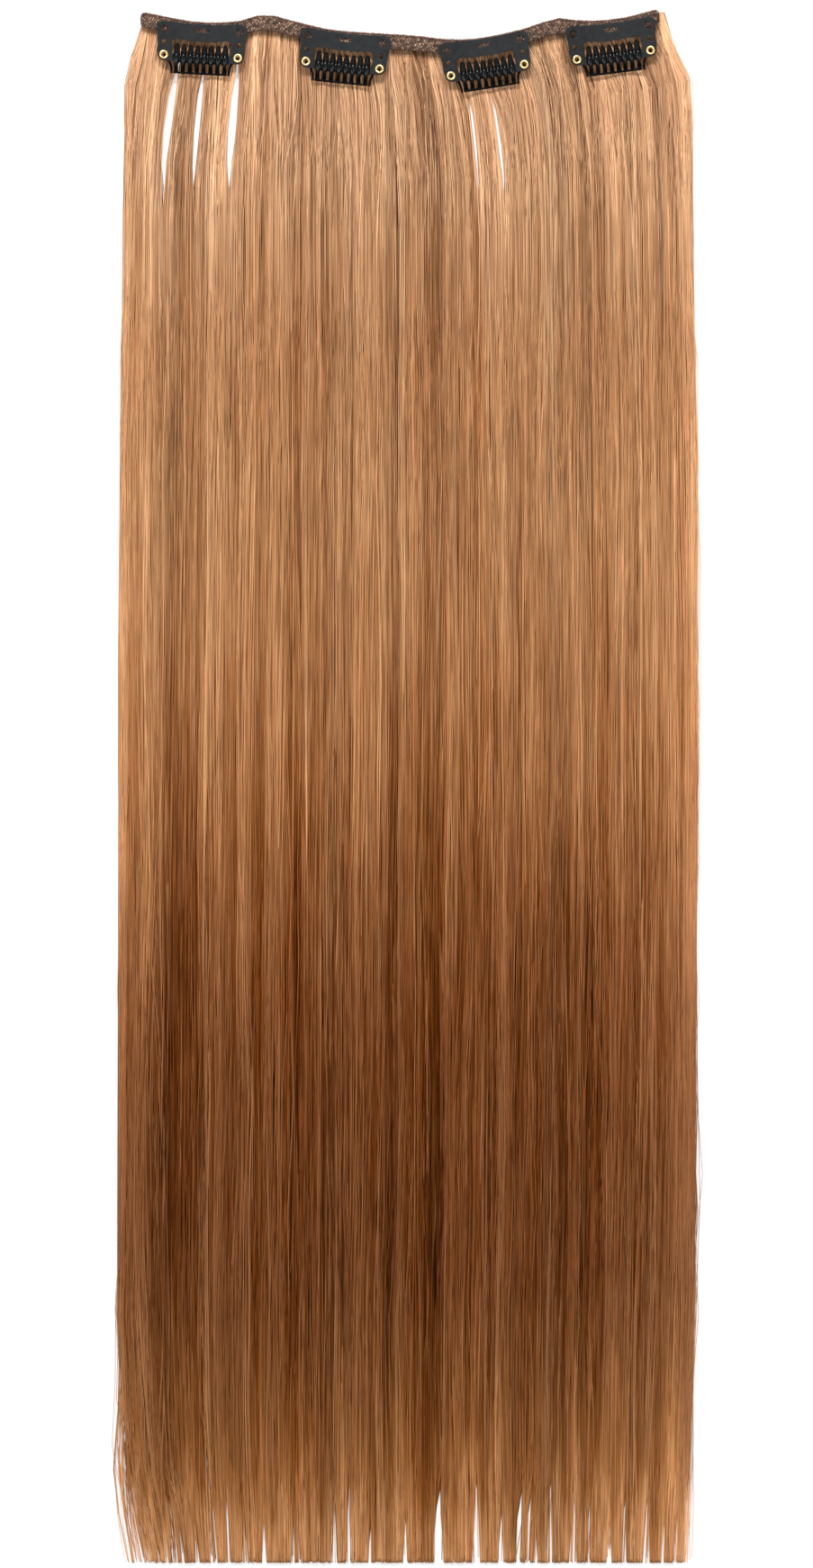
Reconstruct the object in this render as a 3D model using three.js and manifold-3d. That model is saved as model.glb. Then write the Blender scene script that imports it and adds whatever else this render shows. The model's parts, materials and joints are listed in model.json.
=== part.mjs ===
// Clip-in hair extension: one wide weft of straight hair on a lace band with snap comb clips.
// It lies flat on its back, as on a table: +Z up, +Y from the tips of the hair to the band,
// millimetres. The origin is under the middle of the whole piece, at table height.

import * as THREE from 'three';
import { mergeVertices } from 'three/addons/utils/BufferGeometryUtils.js';
import Module from 'manifold-3d';

const wasm = await Module();
wasm.setup();

// Clearance between two pieces that touch on the real thing, and how far a cutter reaches
// past what it cuts.
const GAP = 0.3;
const SPARE = 1;

// Comb of a clip: a rail with rungs that climb over the plate's lower bar and end as teeth.
const TEETH = 8;
const TOOTH_PITCH = 2.45;
const TOOTH_WIDTH = 1.75;
const TOOTH_THICK = 0.5;
const RUNG_WIDTH = 1.2;
const TIP_CLEARANCE = 0.95;
const RAIL_DROP = 4.25;
const RAIL_HEIGHT = 0.8;
const STRIP_THICK = 0.4;

// Plate of a clip: pressed steel, bowed along its length, with a window for the teeth.
const PLATE_THICK = 0.5;
const PLATE_BOW = 2.0;
const PLATE_TAPER = 0.8;
const PLATE_CORNER = 2.6;
const PLATE_DISH = 0.5;
const TOP_WEB = 6.4;
const SIDE_WEB = 5.9;
const LOWER_BAR = 2.75;
const WINDOW_SIDE = 0.9;
const WINDOW_HEIGHT = 5.0;
const WINDOW_CORNER = 0.8;
const WINDOW_DISH = 0.7;
const SCALLOP_HEIGHT = 0.5;
const SCALLOP_CUSP = 0.35;

// Holes of the plate.
const SEWING_INSET = 2.8;
const SEWING_RADIUS = 1.35;
const SLOT_LENGTH = 5.1;
const SLOT_HEIGHT = 1.3;
const SIDE_HOLE_DROP = 4.7;
const SIDE_HOLE_RADIUS = 0.85;
const EYELET_INSET = 2.2;

// Brass eyelet: a tube with a flange at each end.
const EYELET_BORE = 0.7;
const EYELET_TUBE = 1.0;
const EYELET_FLANGE = 1.6;
const FLANGE_THICK = 0.3;

// Arm that joins the comb's rail to the eyelet under the plate.
const ARM_WIDTH = 0.9;
const ARM_EYE = 1.9;

// Ridged silicone grip on the rungs.
const GRIP_OVER_BAR = 0.6;
const GRIP_UNDER_BAR = 1.35;
const GRIP_COVER = 0.35;
const GRIP_RIDGE = 0.45;
const RIDGE_FLAT = 0.8;

// Lace band. SEWING_DROP is how far below its upper edge the clips' sewing holes lie.
const BAND_WIDTH = 5.5;
const BAND_THICK = 1.2;
const BAND_WAVE = 11;
const BAND_SHIFT = -3;
const CLIP_SPACE = 17;
const SEWING_DROP = 4.3;

// Hair. HEAD sizes are those of its sewn head, the part under the band.
const HAIR_LENGTH = 542;
const HAIR_WIDTH = 206;
const HAIR_THICK = 3.2;
const HEAD_THICK = 1.6;
const HEAD_WIDTH = 4.6;
const HEAD_INSET = 0.4;
const LOCK_OVERLAP = 1.0;
const PARTING = 3;
const LEAST_GAP = 0.01;

// Where the slits below the band start and end, as shares of the hair's length, and how far
// their widest place lies towards the band: 1 is halfway, and less is nearer to it.
const SLIT_FROM = 0.02;
const SLIT_TO = 0.11;
const SLIT_SKEW = 0.8;

// Fineness of the curves.
const BOW_FACETS = 7;
const CORNER_STEPS = 2;
const ROUND_STEPS = 4;
const ARM_STEPS = 4;
const EYELET_SIDES = 8;
const BAND_STEP = 6;
const BAND_SAMPLES = 150;

// Free stretch of a tooth past the grip. reach: share of the stretch, height: share of the
// rung's height over the plate's underside, width: share of TOOTH_WIDTH.
const TOOTH_RUN = [
  { reach: 0.0, height: 1.0, width: 1.2 },
  { reach: 0.5, height: 0.45, width: 1.0 },
  { reach: 0.84, height: 0.15, width: 0.85 },
  { reach: 1.0, height: 0.0, width: 0.35 },
];

// The band's run seen from above. at: share of the band's length, rise: share of BAND_WAVE.
const BAND_RUN = [
  { at: 0.0, rise: 0.9 },
  { at: 0.05, rise: 0.73 },
  { at: 0.112, rise: 0.57 },
  { at: 0.185, rise: 0.58 },
  { at: 0.238, rise: 0.8 },
  { at: 0.29, rise: 0.61 },
  { at: 0.364, rise: 0.33 },
  { at: 0.448, rise: 0.21 },
  { at: 0.533, rise: 0.11 },
  { at: 0.595, rise: 0.0 },
  { at: 0.658, rise: 0.06 },
  { at: 0.743, rise: 0.36 },
  { at: 0.803, rise: 0.68 },
  { at: 0.858, rise: 0.6 },
  { at: 0.932, rise: 0.71 },
  { at: 1.0, rise: 1.0 },
];

// The clips. space: free band before the clip, as a share of CLIP_SPACE; drop: how far below
// the band's edge it is sewn, as a share of SEWING_DROP; askew: degrees it is off the band's
// own slope.
const CLIPS = [
  { space: 0.33, drop: 1.0, askew: 0.4 },
  { space: 1.08, drop: 0.88, askew: 0.9 },
  { space: 0.98, drop: 0.87, askew: 1.4 },
  { space: 0.74, drop: 1.16, askew: 1.1 },
];
const LAST_SPACE = 0.06;

// Outline of the hair. down: share of its length, left and right: shares of half its width.
const HAIR_EDGES = [
  { down: 0.0, left: 0.92, right: 0.868 },
  { down: 0.012, left: 0.935, right: 0.905 },
  { down: 0.025, left: 0.95, right: 0.93 },
  { down: 0.045, left: 0.965, right: 0.965 },
  { down: 0.11, left: 0.98, right: 0.98 },
  { down: 0.45, left: 0.995, right: 1.0 },
  { down: 0.8, left: 1.0, right: 0.985 },
  { down: 0.86, left: 1.0, right: 0.975 },
  { down: 0.93, left: 0.97, right: 0.96 },
  { down: 1.0, left: 0.87, right: 0.935 },
];

// Stations along every lock. down: share of its length, thick: share of HAIR_THICK,
// lift: share of the band's lift that the hair still has there.
const STATIONS = [
  { down: 0.0, thick: 0.4, lift: 1.0 },
  { down: 0.025, thick: 0.58, lift: 0.5 },
  { down: 0.045, thick: 0.68, lift: 0.1 },
  { down: 0.07, thick: 0.8, lift: 0.0 },
  { down: 0.11, thick: 0.9, lift: 0.0 },
  { down: 0.2, thick: 0.98, lift: 0.0 },
  { down: 0.45, thick: 1.0, lift: 0.0 },
  { down: 0.68, thick: 0.92, lift: 0.0 },
  { down: 0.86, thick: 0.74, lift: 0.0 },
  { down: 0.94, thick: 0.55, lift: 0.0 },
  { down: 1.0, thick: 0.34, lift: 0.0 },
];

// Section of a lock. across: share of its width, height: share of its own thickness.
const LOCK_SECTION = [
  { across: 0.0, height: 0.0 },
  { across: 1.0, height: 0.0 },
  { across: 1.0, height: 0.55 },
  { across: 0.5, height: 1.0 },
  { across: 0.0, height: 0.55 },
];

// Lines between the locks, as shares of the way across. head: place at the band, at: place
// further down; slit: widest gap below the band, tip: gap at the tips, both as shares of
// PARTING; tipFrom: where the tips part, as a share of the length.
const PARTINGS = [
  { head: 0.083, at: 0.066, slit: 0.95, tip: 0.9, tipFrom: 0.9 },
  { head: 0.131, at: 0.12, slit: 0.75, tip: 0.5, tipFrom: 0.95 },
  { head: 0.193, at: 0.182, slit: 1.0, tip: 0.6, tipFrom: 0.93 },
  { head: 0.25, at: 0.25, slit: 0.0, tip: 0.5, tipFrom: 0.96 },
  { head: 0.31, at: 0.313, slit: 0.0, tip: 0.7, tipFrom: 0.95 },
  { head: 0.372, at: 0.377, slit: 0.0, tip: 0.8, tipFrom: 0.94 },
  { head: 0.433, at: 0.44, slit: 0.0, tip: 0.5, tipFrom: 0.96 },
  { head: 0.495, at: 0.502, slit: 0.0, tip: 0.6, tipFrom: 0.95 },
  { head: 0.552, at: 0.565, slit: 0.0, tip: 0.5, tipFrom: 0.97 },
  { head: 0.608, at: 0.626, slit: 0.45, tip: 0.9, tipFrom: 0.92 },
  { head: 0.648, at: 0.671, slit: 0.45, tip: 0.5, tipFrom: 0.95 },
  { head: 0.72, at: 0.73, slit: 0.0, tip: 0.7, tipFrom: 0.95 },
  { head: 0.79, at: 0.797, slit: 0.0, tip: 0.9, tipFrom: 0.93 },
  { head: 0.86, at: 0.863, slit: 0.0, tip: 0.6, tipFrom: 0.96 },
  { head: 0.93, at: 0.932, slit: 0.0, tip: 0.8, tipFrom: 0.92 },
];

// Each lock from left to right. crown: share of the station's thickness, length: share of
// HAIR_LENGTH.
const LOCKS = [
  { crown: 0.84, length: 0.99 },
  { crown: 1.0, length: 1.0 },
  { crown: 0.9, length: 0.994 },
  { crown: 0.97, length: 0.998 },
  { crown: 0.86, length: 0.992 },
  { crown: 1.0, length: 1.0 },
  { crown: 0.92, length: 0.996 },
  { crown: 0.98, length: 0.993 },
  { crown: 0.88, length: 1.0 },
  { crown: 0.96, length: 0.995 },
  { crown: 0.9, length: 0.998 },
  { crown: 1.0, length: 0.993 },
  { crown: 0.87, length: 1.0 },
  { crown: 0.95, length: 0.994 },
  { crown: 1.0, length: 0.998 },
  { crown: 0.84, length: 0.99 },
];

const FINISHES = {
  lace: { color: '#4a3237', roughness: 0.9, metalness: 0 },
  hair: { color: '#b08155', roughness: 0.45, metalness: 0 },
  plate: { color: '#26282a', roughness: 0.35, metalness: 0.6 },
  comb: { color: '#1f2022', roughness: 0.35, metalness: 0.6 },
  silicone: { color: '#17181a', roughness: 0.25, metalness: 0 },
  brass: { color: '#c9a24b', roughness: 0.25, metalness: 1 },
};

// Places on a clip, in its own frame: x along the plate, y up the plate from the line of the
// sewing holes, z up from the plate's underside in its middle.
const TOOTH_SPAN = (TEETH - 1) * TOOTH_PITCH;
const WINDOW_HALF = TOOTH_SPAN / 2 + TOOTH_WIDTH / 2 + WINDOW_SIDE;
const PLATE_HALF = WINDOW_HALF + SIDE_WEB;
const HOLE_X = WINDOW_HALF + SIDE_WEB / 2;
const PLATE_TOP = SEWING_INSET;
const WINDOW_TOP = PLATE_TOP - TOP_WEB;
const WINDOW_BOTTOM = WINDOW_TOP - WINDOW_HEIGHT;
const PLATE_BOTTOM = WINDOW_BOTTOM - LOWER_BAR;
const EYELET_Y = PLATE_BOTTOM + EYELET_INSET;
const GRIP_TOP = WINDOW_BOTTOM + GRIP_OVER_BAR;
const GRIP_BOTTOM = PLATE_BOTTOM - GRIP_UNDER_BAR;
const RAIL_BOTTOM = PLATE_BOTTOM - RAIL_DROP;
const RAIL_TOP = RAIL_BOTTOM + RAIL_HEIGHT;
const RAIL_Y = (RAIL_TOP + RAIL_BOTTOM) / 2;
const RAIL_HALF = TOOTH_SPAN / 2 + RUNG_WIDTH / 2 + STRIP_THICK / 2;
const STRIP_LOW = -GAP - STRIP_THICK;
const STRIP_Z = STRIP_LOW + STRIP_THICK / 2;
const RUNG_Z = PLATE_THICK + GAP + TOOTH_THICK / 2;
const HOLE_RADIUS = EYELET_TUBE + GAP;

// Heights over the table of the band's and the plate's undersides, in the middle of a clip.
const BAND_LOW = HEAD_THICK + GAP;
const PLATE_LOW = BAND_LOW + BAND_THICK + GAP;

// The plates are bowed to an arc: their ends are higher than their middle.
const BOW_RADIUS = (PLATE_HALF ** 2 + PLATE_BOW ** 2) / (2 * PLATE_BOW);
const bow = (x) => BOW_RADIUS - Math.sqrt(BOW_RADIUS ** 2 - x ** 2);

const { lerp, smoothstep, degToRad } = THREE.MathUtils;

/** Turns a closed three.js geometry into a solid that can be joined and cut. */
function solid(geometry) {
  const bare = new THREE.BufferGeometry();
  bare.setAttribute('position', geometry.getAttribute('position'));
  if (geometry.index) {
    bare.setIndex(geometry.index);
  }
  const merged = mergeVertices(bare, 1e-4);
  return new wasm.Manifold(new wasm.Mesh({
    numProp: 3,
    vertProperties: Float32Array.from(merged.getAttribute('position').array),
    triVerts: Uint32Array.from(merged.index.array),
  }));
}

/** Turns a solid back into a three.js geometry. */
function geometryOf(body) {
  const mesh = body.getMesh();
  const geometry = new THREE.BufferGeometry();
  geometry.setAttribute('position', new THREE.BufferAttribute(mesh.vertProperties, 3));
  geometry.setIndex(new THREE.BufferAttribute(mesh.triVerts, 1));
  geometry.computeVertexNormals();
  return geometry;
}

const joined = (bodies) => bodies.reduce((whole, body) => whole.add(body));

/** A shape in x and y, extruded from z = low to z = high. */
function prism(shape, low, high, curveSegments) {
  const options = { depth: high - low, bevelEnabled: false, curveSegments };
  return solid(new THREE.ExtrudeGeometry(shape, options).translate(0, 0, low));
}

/** A shape in x and z, extruded along y from top down to bottom. */
function slab(shape, top, bottom) {
  const options = { depth: top - bottom, bevelEnabled: false, curveSegments: 1 };
  return solid(new THREE.ExtrudeGeometry(shape, options).rotateX(Math.PI / 2).translate(0, top, 0));
}

/** A skin over sections that all have the same number of points, with both ends closed. */
function loft(sections) {
  const count = sections[0].length;
  const triangles = [];
  for (let row = 0; row + 1 < sections.length; row += 1) {
    for (let k = 0; k < count; k += 1) {
      const next = (k + 1) % count;
      const here = row * count;
      const there = here + count;
      triangles.push(here + k, here + next, there + next, here + k, there + next, there + k);
    }
  }
  const last = (sections.length - 1) * count;
  for (let k = 1; k + 1 < count; k += 1) {
    triangles.push(0, k + 1, k, last, last + k, last + k + 1);
  }
  const geometry = new THREE.BufferGeometry().setFromPoints(sections.flat());
  geometry.setIndex(triangles);
  return solid(geometry);
}

/** A value from a table's column, read with straight lines between its rows. */
function read(table, share, column) {
  const next = table.findIndex((row) => row.down >= share);
  if (next <= 0) {
    return table[next < 0 ? table.length - 1 : 0][column];
  }
  const a = table[next - 1];
  const b = table[next];
  return lerp(a[column], b[column], (share - a.down) / (b.down - a.down));
}

function disc(x, y, radius) {
  return new THREE.Shape().absarc(x, y, radius, 0, 2 * Math.PI);
}

/** A bowed layer in x and z, low over the arc of the plate's underside. */
function bowedLayer(half, low, thick) {
  const steps = Array.from({ length: BOW_FACETS + 1 }, (_, k) => lerp(-half, half, k / BOW_FACETS));
  return new THREE.Shape([
    ...steps.map((x) => new THREE.Vector2(x, bow(x) + low)),
    ...steps.reverse().map((x) => new THREE.Vector2(x, bow(x) + low + thick)),
  ]);
}

/** The plate's outline: dished along its top, narrower at its foot, with round corners. */
function plateOutline() {
  const foot = PLATE_HALF - PLATE_TAPER;
  const c = PLATE_CORNER;
  const shape = new THREE.Shape();
  shape.moveTo(-foot + c, PLATE_BOTTOM);
  shape.lineTo(foot - c, PLATE_BOTTOM);
  shape.quadraticCurveTo(foot, PLATE_BOTTOM, foot, PLATE_BOTTOM + c);
  shape.lineTo(PLATE_HALF, PLATE_TOP - c);
  shape.quadraticCurveTo(PLATE_HALF, PLATE_TOP, PLATE_HALF - c, PLATE_TOP);
  shape.quadraticCurveTo(0, PLATE_TOP - 2 * PLATE_DISH, -PLATE_HALF + c, PLATE_TOP);
  shape.quadraticCurveTo(-PLATE_HALF, PLATE_TOP, -PLATE_HALF, PLATE_TOP - c);
  shape.lineTo(-foot, PLATE_BOTTOM + c);
  shape.quadraticCurveTo(-foot, PLATE_BOTTOM, -foot + c, PLATE_BOTTOM);
  return shape;
}

const toothX = (tooth) => tooth * TOOTH_PITCH - TOOTH_SPAN / 2;

/** Upper edge of the window, which hangs lower in its middle. */
function windowEdge(x) {
  return WINDOW_TOP - WINDOW_DISH * (1 - (x / WINDOW_HALF) ** 2);
}

/** The window's outline, with one scallop in its upper edge over each tooth. */
function windowOutline() {
  const c = WINDOW_CORNER;
  const reach = (TOOTH_PITCH - SCALLOP_CUSP) / 2;
  const shape = new THREE.Shape();
  shape.moveTo(-WINDOW_HALF + c, WINDOW_BOTTOM);
  shape.lineTo(WINDOW_HALF - c, WINDOW_BOTTOM);
  shape.quadraticCurveTo(WINDOW_HALF, WINDOW_BOTTOM, WINDOW_HALF, WINDOW_BOTTOM + c);
  shape.lineTo(WINDOW_HALF, WINDOW_TOP - c);
  for (let tooth = TEETH - 1; tooth >= 0; tooth -= 1) {
    const x = toothX(tooth);
    const edge = windowEdge(x);
    shape.lineTo(x + reach, edge);
    shape.quadraticCurveTo(x, edge + 2 * SCALLOP_HEIGHT, x - reach, edge);
  }
  shape.lineTo(-WINDOW_HALF, WINDOW_TOP - c);
  shape.lineTo(-WINDOW_HALF, WINDOW_BOTTOM + c);
  shape.quadraticCurveTo(-WINDOW_HALF, WINDOW_BOTTOM, -WINDOW_HALF + c, WINDOW_BOTTOM);
  return shape;
}

/** The sewing slot in the middle of the plate, with round ends. */
function slotOutline() {
  const r = SLOT_HEIGHT / 2;
  const x = SLOT_LENGTH / 2 - r;
  return new THREE.Shape()
    .absarc(x, 0, r, -Math.PI / 2, Math.PI / 2)
    .absarc(-x, 0, r, Math.PI / 2, (3 * Math.PI) / 2);
}

/** The bowed plate with its window, its sewing holes and the holes for the eyelets. */
function plateSolid() {
  const low = -SPARE;
  const high = PLATE_BOW + PLATE_THICK + SPARE;
  const layer = bowedLayer(PLATE_HALF, 0, PLATE_THICK);
  const cuts = [
    prism(windowOutline(), low, high, CORNER_STEPS),
    prism(slotOutline(), low, high, CORNER_STEPS),
  ];
  for (const side of [-1, 1]) {
    const x = side * HOLE_X;
    cuts.push(prism(disc(x, 0, SEWING_RADIUS), low, high, ROUND_STEPS));
    cuts.push(prism(disc(x, -SIDE_HOLE_DROP, SIDE_HOLE_RADIUS), low, high, ROUND_STEPS));
    cuts.push(prism(disc(x, EYELET_Y, HOLE_RADIUS), low, high, ROUND_STEPS));
  }
  return slab(layer, PLATE_TOP + SPARE, PLATE_BOTTOM - SPARE)
    .intersect(prism(plateOutline(), low, high, CORNER_STEPS + 1))
    .subtract(joined(cuts));
}

/** One rung and its tooth: over the lower bar, under the grip, then down into the window. */
function toothSolid(x) {
  const tip = windowEdge(x) - TIP_CLEARANCE;
  const shoulder = GRIP_TOP + GAP;
  const run = [
    { y: RAIL_Y, z: STRIP_Z, width: RUNG_WIDTH },
    { y: RAIL_TOP, z: STRIP_Z, width: RUNG_WIDTH },
    { y: GRIP_BOTTOM, z: RUNG_Z, width: RUNG_WIDTH },
    { y: GRIP_TOP, z: RUNG_Z, width: RUNG_WIDTH },
    ...TOOTH_RUN.map(({ reach, height, width }) => ({
      y: lerp(shoulder, tip, reach),
      z: height * RUNG_Z,
      width: width * TOOTH_WIDTH,
    })),
  ];
  const corners = [[-1, -1], [-1, 1], [1, 1], [1, -1]];
  return loft(run.map(({ y, z, width }) => corners.map(
    ([u, v]) => new THREE.Vector3(x + (u * width) / 2, y, bow(x) + z + (v * TOOTH_THICK) / 2),
  )));
}

/** The comb: a bowed rail with its rungs and teeth. */
function combSolid() {
  const rail = slab(bowedLayer(RAIL_HALF, STRIP_LOW, STRIP_THICK), RAIL_TOP, RAIL_BOTTOM);
  const teeth = Array.from({ length: TEETH }, (_, tooth) => toothSolid(toothX(tooth)));
  return joined([rail, ...teeth]);
}

/** The silicone grip: a ridge over every rung, with a channel under it that the rung lies in. */
function gripSolid() {
  const channel = RUNG_WIDTH / 2 + GAP;
  const sole = PLATE_THICK + GAP;
  const roof = sole + TOOTH_THICK + GAP;
  const valley = roof + GRIP_COVER;
  const ridge = valley + GRIP_RIDGE;
  const half = TOOTH_PITCH / 2;
  const flat = RIDGE_FLAT / 2;
  const over = [];
  const under = [];
  for (let tooth = 0; tooth < TEETH; tooth += 1) {
    const x = toothX(tooth);
    over.push([x - half, valley], [x - flat, ridge], [x + flat, ridge]);
    under.push([x - half, sole], [x - channel, sole], [x - channel, roof]);
    under.push([x + channel, roof], [x + channel, sole]);
  }
  const end = toothX(TEETH - 1) + half;
  const points = [...under, [end, sole], [end, valley], ...over.reverse()];
  const shape = new THREE.Shape(points.map(([x, z]) => new THREE.Vector2(x, bow(x) + z)));
  return slab(shape, GRIP_TOP, GRIP_BOTTOM);
}

/** The arm's strip from above: from the eyelet in and down to beside the end of the rail. */
function armOutline(side) {
  const beside = RAIL_HALF + GAP + ARM_WIDTH / 2;
  const run = new THREE.QuadraticBezierCurve(
    new THREE.Vector2(HOLE_X, EYELET_Y),
    new THREE.Vector2(beside, EYELET_Y - ARM_EYE),
    new THREE.Vector2(beside, RAIL_BOTTOM),
  );
  const edgePoint = (share, reach) => {
    const along = run.getTangent(share);
    const point = run.getPoint(share);
    return new THREE.Vector2(side * (point.x - along.y * reach), point.y + along.x * reach);
  };
  const shares = Array.from({ length: ARM_STEPS + 1 }, (_, k) => k / ARM_STEPS);
  return new THREE.Shape([
    ...shares.map((share) => edgePoint(share, ARM_WIDTH / 2)),
    ...shares.reverse().map((share) => edgePoint(share, -ARM_WIDTH / 2)),
  ]);
}

/** The arm: that strip with an eye round the eyelet, bowed like the plate over it. */
function armSolid(side) {
  const low = STRIP_LOW - SPARE;
  const high = PLATE_BOW + SPARE;
  const x = side * HOLE_X;
  const flat = prism(armOutline(side), low, high, 1)
    .add(prism(disc(x, EYELET_Y, ARM_EYE), low, high, ROUND_STEPS))
    .subtract(prism(disc(x, EYELET_Y, HOLE_RADIUS), low, high, ROUND_STEPS));
  const layer = bowedLayer(PLATE_HALF, STRIP_LOW, STRIP_THICK);
  return slab(layer, EYELET_Y + ARM_EYE + SPARE, RAIL_BOTTOM - SPARE).intersect(flat);
}

/** The eyelet, a turned ring whose two flanges hold the plate and the arm together. */
function eyeletGeometry() {
  const top = PLATE_THICK + GAP + FLANGE_THICK;
  const bottom = STRIP_LOW - GAP - FLANGE_THICK;
  const profile = [
    [EYELET_BORE, bottom],
    [EYELET_FLANGE, bottom],
    [EYELET_FLANGE, bottom + FLANGE_THICK],
    [EYELET_TUBE, bottom + FLANGE_THICK],
    [EYELET_TUBE, top - FLANGE_THICK],
    [EYELET_FLANGE, top - FLANGE_THICK],
    [EYELET_FLANGE - FLANGE_THICK, top],
    [EYELET_BORE, top],
    [EYELET_BORE, bottom],
  ];
  const points = profile.map(([r, z]) => new THREE.Vector2(r, z));
  return new THREE.LatheGeometry(points, EYELET_SIDES).rotateX(Math.PI / 2);
}

// The band's run from above, left to right, and the clips along it.
const SPACES = CLIPS.reduce((sum, { space }) => sum + space, LAST_SPACE) * CLIP_SPACE;
const BAND_LENGTH = CLIPS.length * 2 * PLATE_HALF + SPACES;
const BAND_LEFT = BAND_SHIFT - BAND_LENGTH / 2;
const TOP_LINE = (HAIR_LENGTH - BAND_WAVE) / 2;
const TIP_LINE = TOP_LINE - HAIR_LENGTH;
const bandLine = new THREE.SplineCurve(BAND_RUN.map(
  ({ at, rise }) => new THREE.Vector2(BAND_LEFT + at * BAND_LENGTH, TOP_LINE + rise * BAND_WAVE),
)).getPoints(BAND_SAMPLES);

/** Height on the page of the band's upper edge. */
function bandTop(x) {
  const next = bandLine.findIndex((point) => point.x >= x);
  if (next <= 0) {
    return bandLine[next < 0 ? BAND_SAMPLES : 0].y;
  }
  const a = bandLine[next - 1];
  const b = bandLine[next];
  return lerp(a.y, b.y, (x - a.x) / (b.x - a.x));
}

/** Centre and turn of every clip: it is sewn on under the band's edge, along its chord. */
function placeClips() {
  let x = BAND_LEFT - PLATE_HALF;
  return CLIPS.map(({ space, drop, askew }) => {
    x += space * CLIP_SPACE + 2 * PLATE_HALF;
    const left = bandTop(x - HOLE_X);
    const right = bandTop(x + HOLE_X);
    const turn = Math.atan2(right - left, 2 * HOLE_X) + degToRad(askew);
    return { x, y: (left + right) / 2 - drop * SEWING_DROP, turn };
  });
}
const clipPlaces = placeClips();

/** How far the bowed plates lift the band at a place: nothing in a clip's middle. */
function lift(x, y) {
  const heights = clipPlaces.map((place) => {
    const along = (x - place.x) * Math.cos(place.turn) + (y - place.y) * Math.sin(place.turn);
    return bow(Math.min(Math.abs(along), PLATE_HALF));
  });
  return Math.min(...heights);
}

/** A flat strip that follows the band's run, between two depths below its upper edge. */
function bandStrip(upper, lower, low, high) {
  const count = Math.ceil(BAND_LENGTH / BAND_STEP);
  const corners = [[lower, low], [upper, low], [upper, high], [lower, high]];
  return loft(Array.from({ length: count + 1 }, (_, k) => {
    const x = BAND_LEFT + (k / count) * BAND_LENGTH;
    return corners.map(([down, z]) => {
      const y = bandTop(x) - down;
      return new THREE.Vector3(x, y, lift(x, y) + z);
    });
  }));
}

/** Place across the hair of the line between two locks, or of the hair's own edge. */
function lineX(line, down) {
  const left = (-read(HAIR_EDGES, down, 'left') * HAIR_WIDTH) / 2;
  const right = (read(HAIR_EDGES, down, 'right') * HAIR_WIDTH) / 2;
  if (line < 0) {
    return left;
  }
  if (line >= PARTINGS.length) {
    return right;
  }
  const { head, at } = PARTINGS[line];
  return lerp(left, right, lerp(head, at, smoothstep(down, 0, SLIT_TO)));
}

/** Half the gap at the line between two locks; below nought they overlap. */
function halfGap(line, down) {
  if (line < 0 || line >= PARTINGS.length) {
    return 0;
  }
  const { slit, tip, tipFrom } = PARTINGS[line];
  const along = Math.min(Math.max((down - SLIT_FROM) / (SLIT_TO - SLIT_FROM), 0), 1);
  const open = slit * PARTING * Math.sin(Math.PI * along ** SLIT_SKEW);
  const parted = tip * PARTING * Math.max(0, (down - tipFrom) / (1 - tipFrom));
  const gap = Math.max(open, parted);
  return gap > LEAST_GAP ? gap / 2 : -LOCK_OVERLAP / 2;
}

/** One lock: a flat underside and a crowned top, from the band's edge to the tips. */
function lockSolid(lock) {
  const { crown, length } = LOCKS[lock];
  const tip = TIP_LINE + (1 - length) * HAIR_LENGTH;
  return loft(STATIONS.map(({ down, thick, lift: share }) => {
    const left = lineX(lock - 1, down) + halfGap(lock - 1, down);
    const right = lineX(lock, down) - halfGap(lock, down);
    return LOCK_SECTION.map(({ across, height }) => {
      const x = lerp(left, right, across);
      const y = lerp(bandTop(x) - HEAD_INSET, tip, down);
      const raised = share * lift(x, bandTop(x));
      return new THREE.Vector3(x, y, raised + height * crown * thick * HAIR_THICK);
    });
  }));
}

/** All the locks, joined to each other and to the sewn head under the band. */
function hairSolid() {
  const head = bandStrip(HEAD_INSET, HEAD_INSET + HEAD_WIDTH, 0, HEAD_THICK);
  return joined([head, ...LOCKS.map((_, lock) => lockSolid(lock))]);
}

/** The lace band, which lies on the hair's head and follows the clips' bow. */
function bandSolid() {
  return bandStrip(0, BAND_WIDTH, BAND_LOW, BAND_LOW + BAND_THICK);
}

/** A named piece with a material of its own. */
function piece(name, geometry, finish) {
  const mesh = new THREE.Mesh(geometry, new THREE.MeshStandardMaterial(FINISHES[finish]));
  mesh.name = name;
  return mesh;
}

/** One eyelet, square to the bowed plate at its corner. */
function eyeletPiece(name, side) {
  const mesh = piece(name, eyeletGeometry(), 'brass');
  mesh.position.set(side * HOLE_X, EYELET_Y, bow(HOLE_X));
  mesh.rotation.y = -side * Math.asin(HOLE_X / BOW_RADIUS);
  return mesh;
}

/** One whole clip in its own frame. */
function clipGroup(number) {
  const clip = new THREE.Group();
  clip.add(piece(`clip_plate_${number}`, geometryOf(plateSolid()), 'plate'));
  clip.add(piece(`clip_comb_${number}`, geometryOf(combSolid()), 'comb'));
  clip.add(piece(`comb_grip_${number}`, geometryOf(gripSolid()), 'silicone'));
  for (const [word, side] of [['left', -1], ['right', 1]]) {
    clip.add(piece(`comb_arm_${word}_${number}`, geometryOf(armSolid(side)), 'comb'));
    clip.add(eyeletPiece(`eyelet_${word}_${number}`, side));
  }
  return clip;
}

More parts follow.
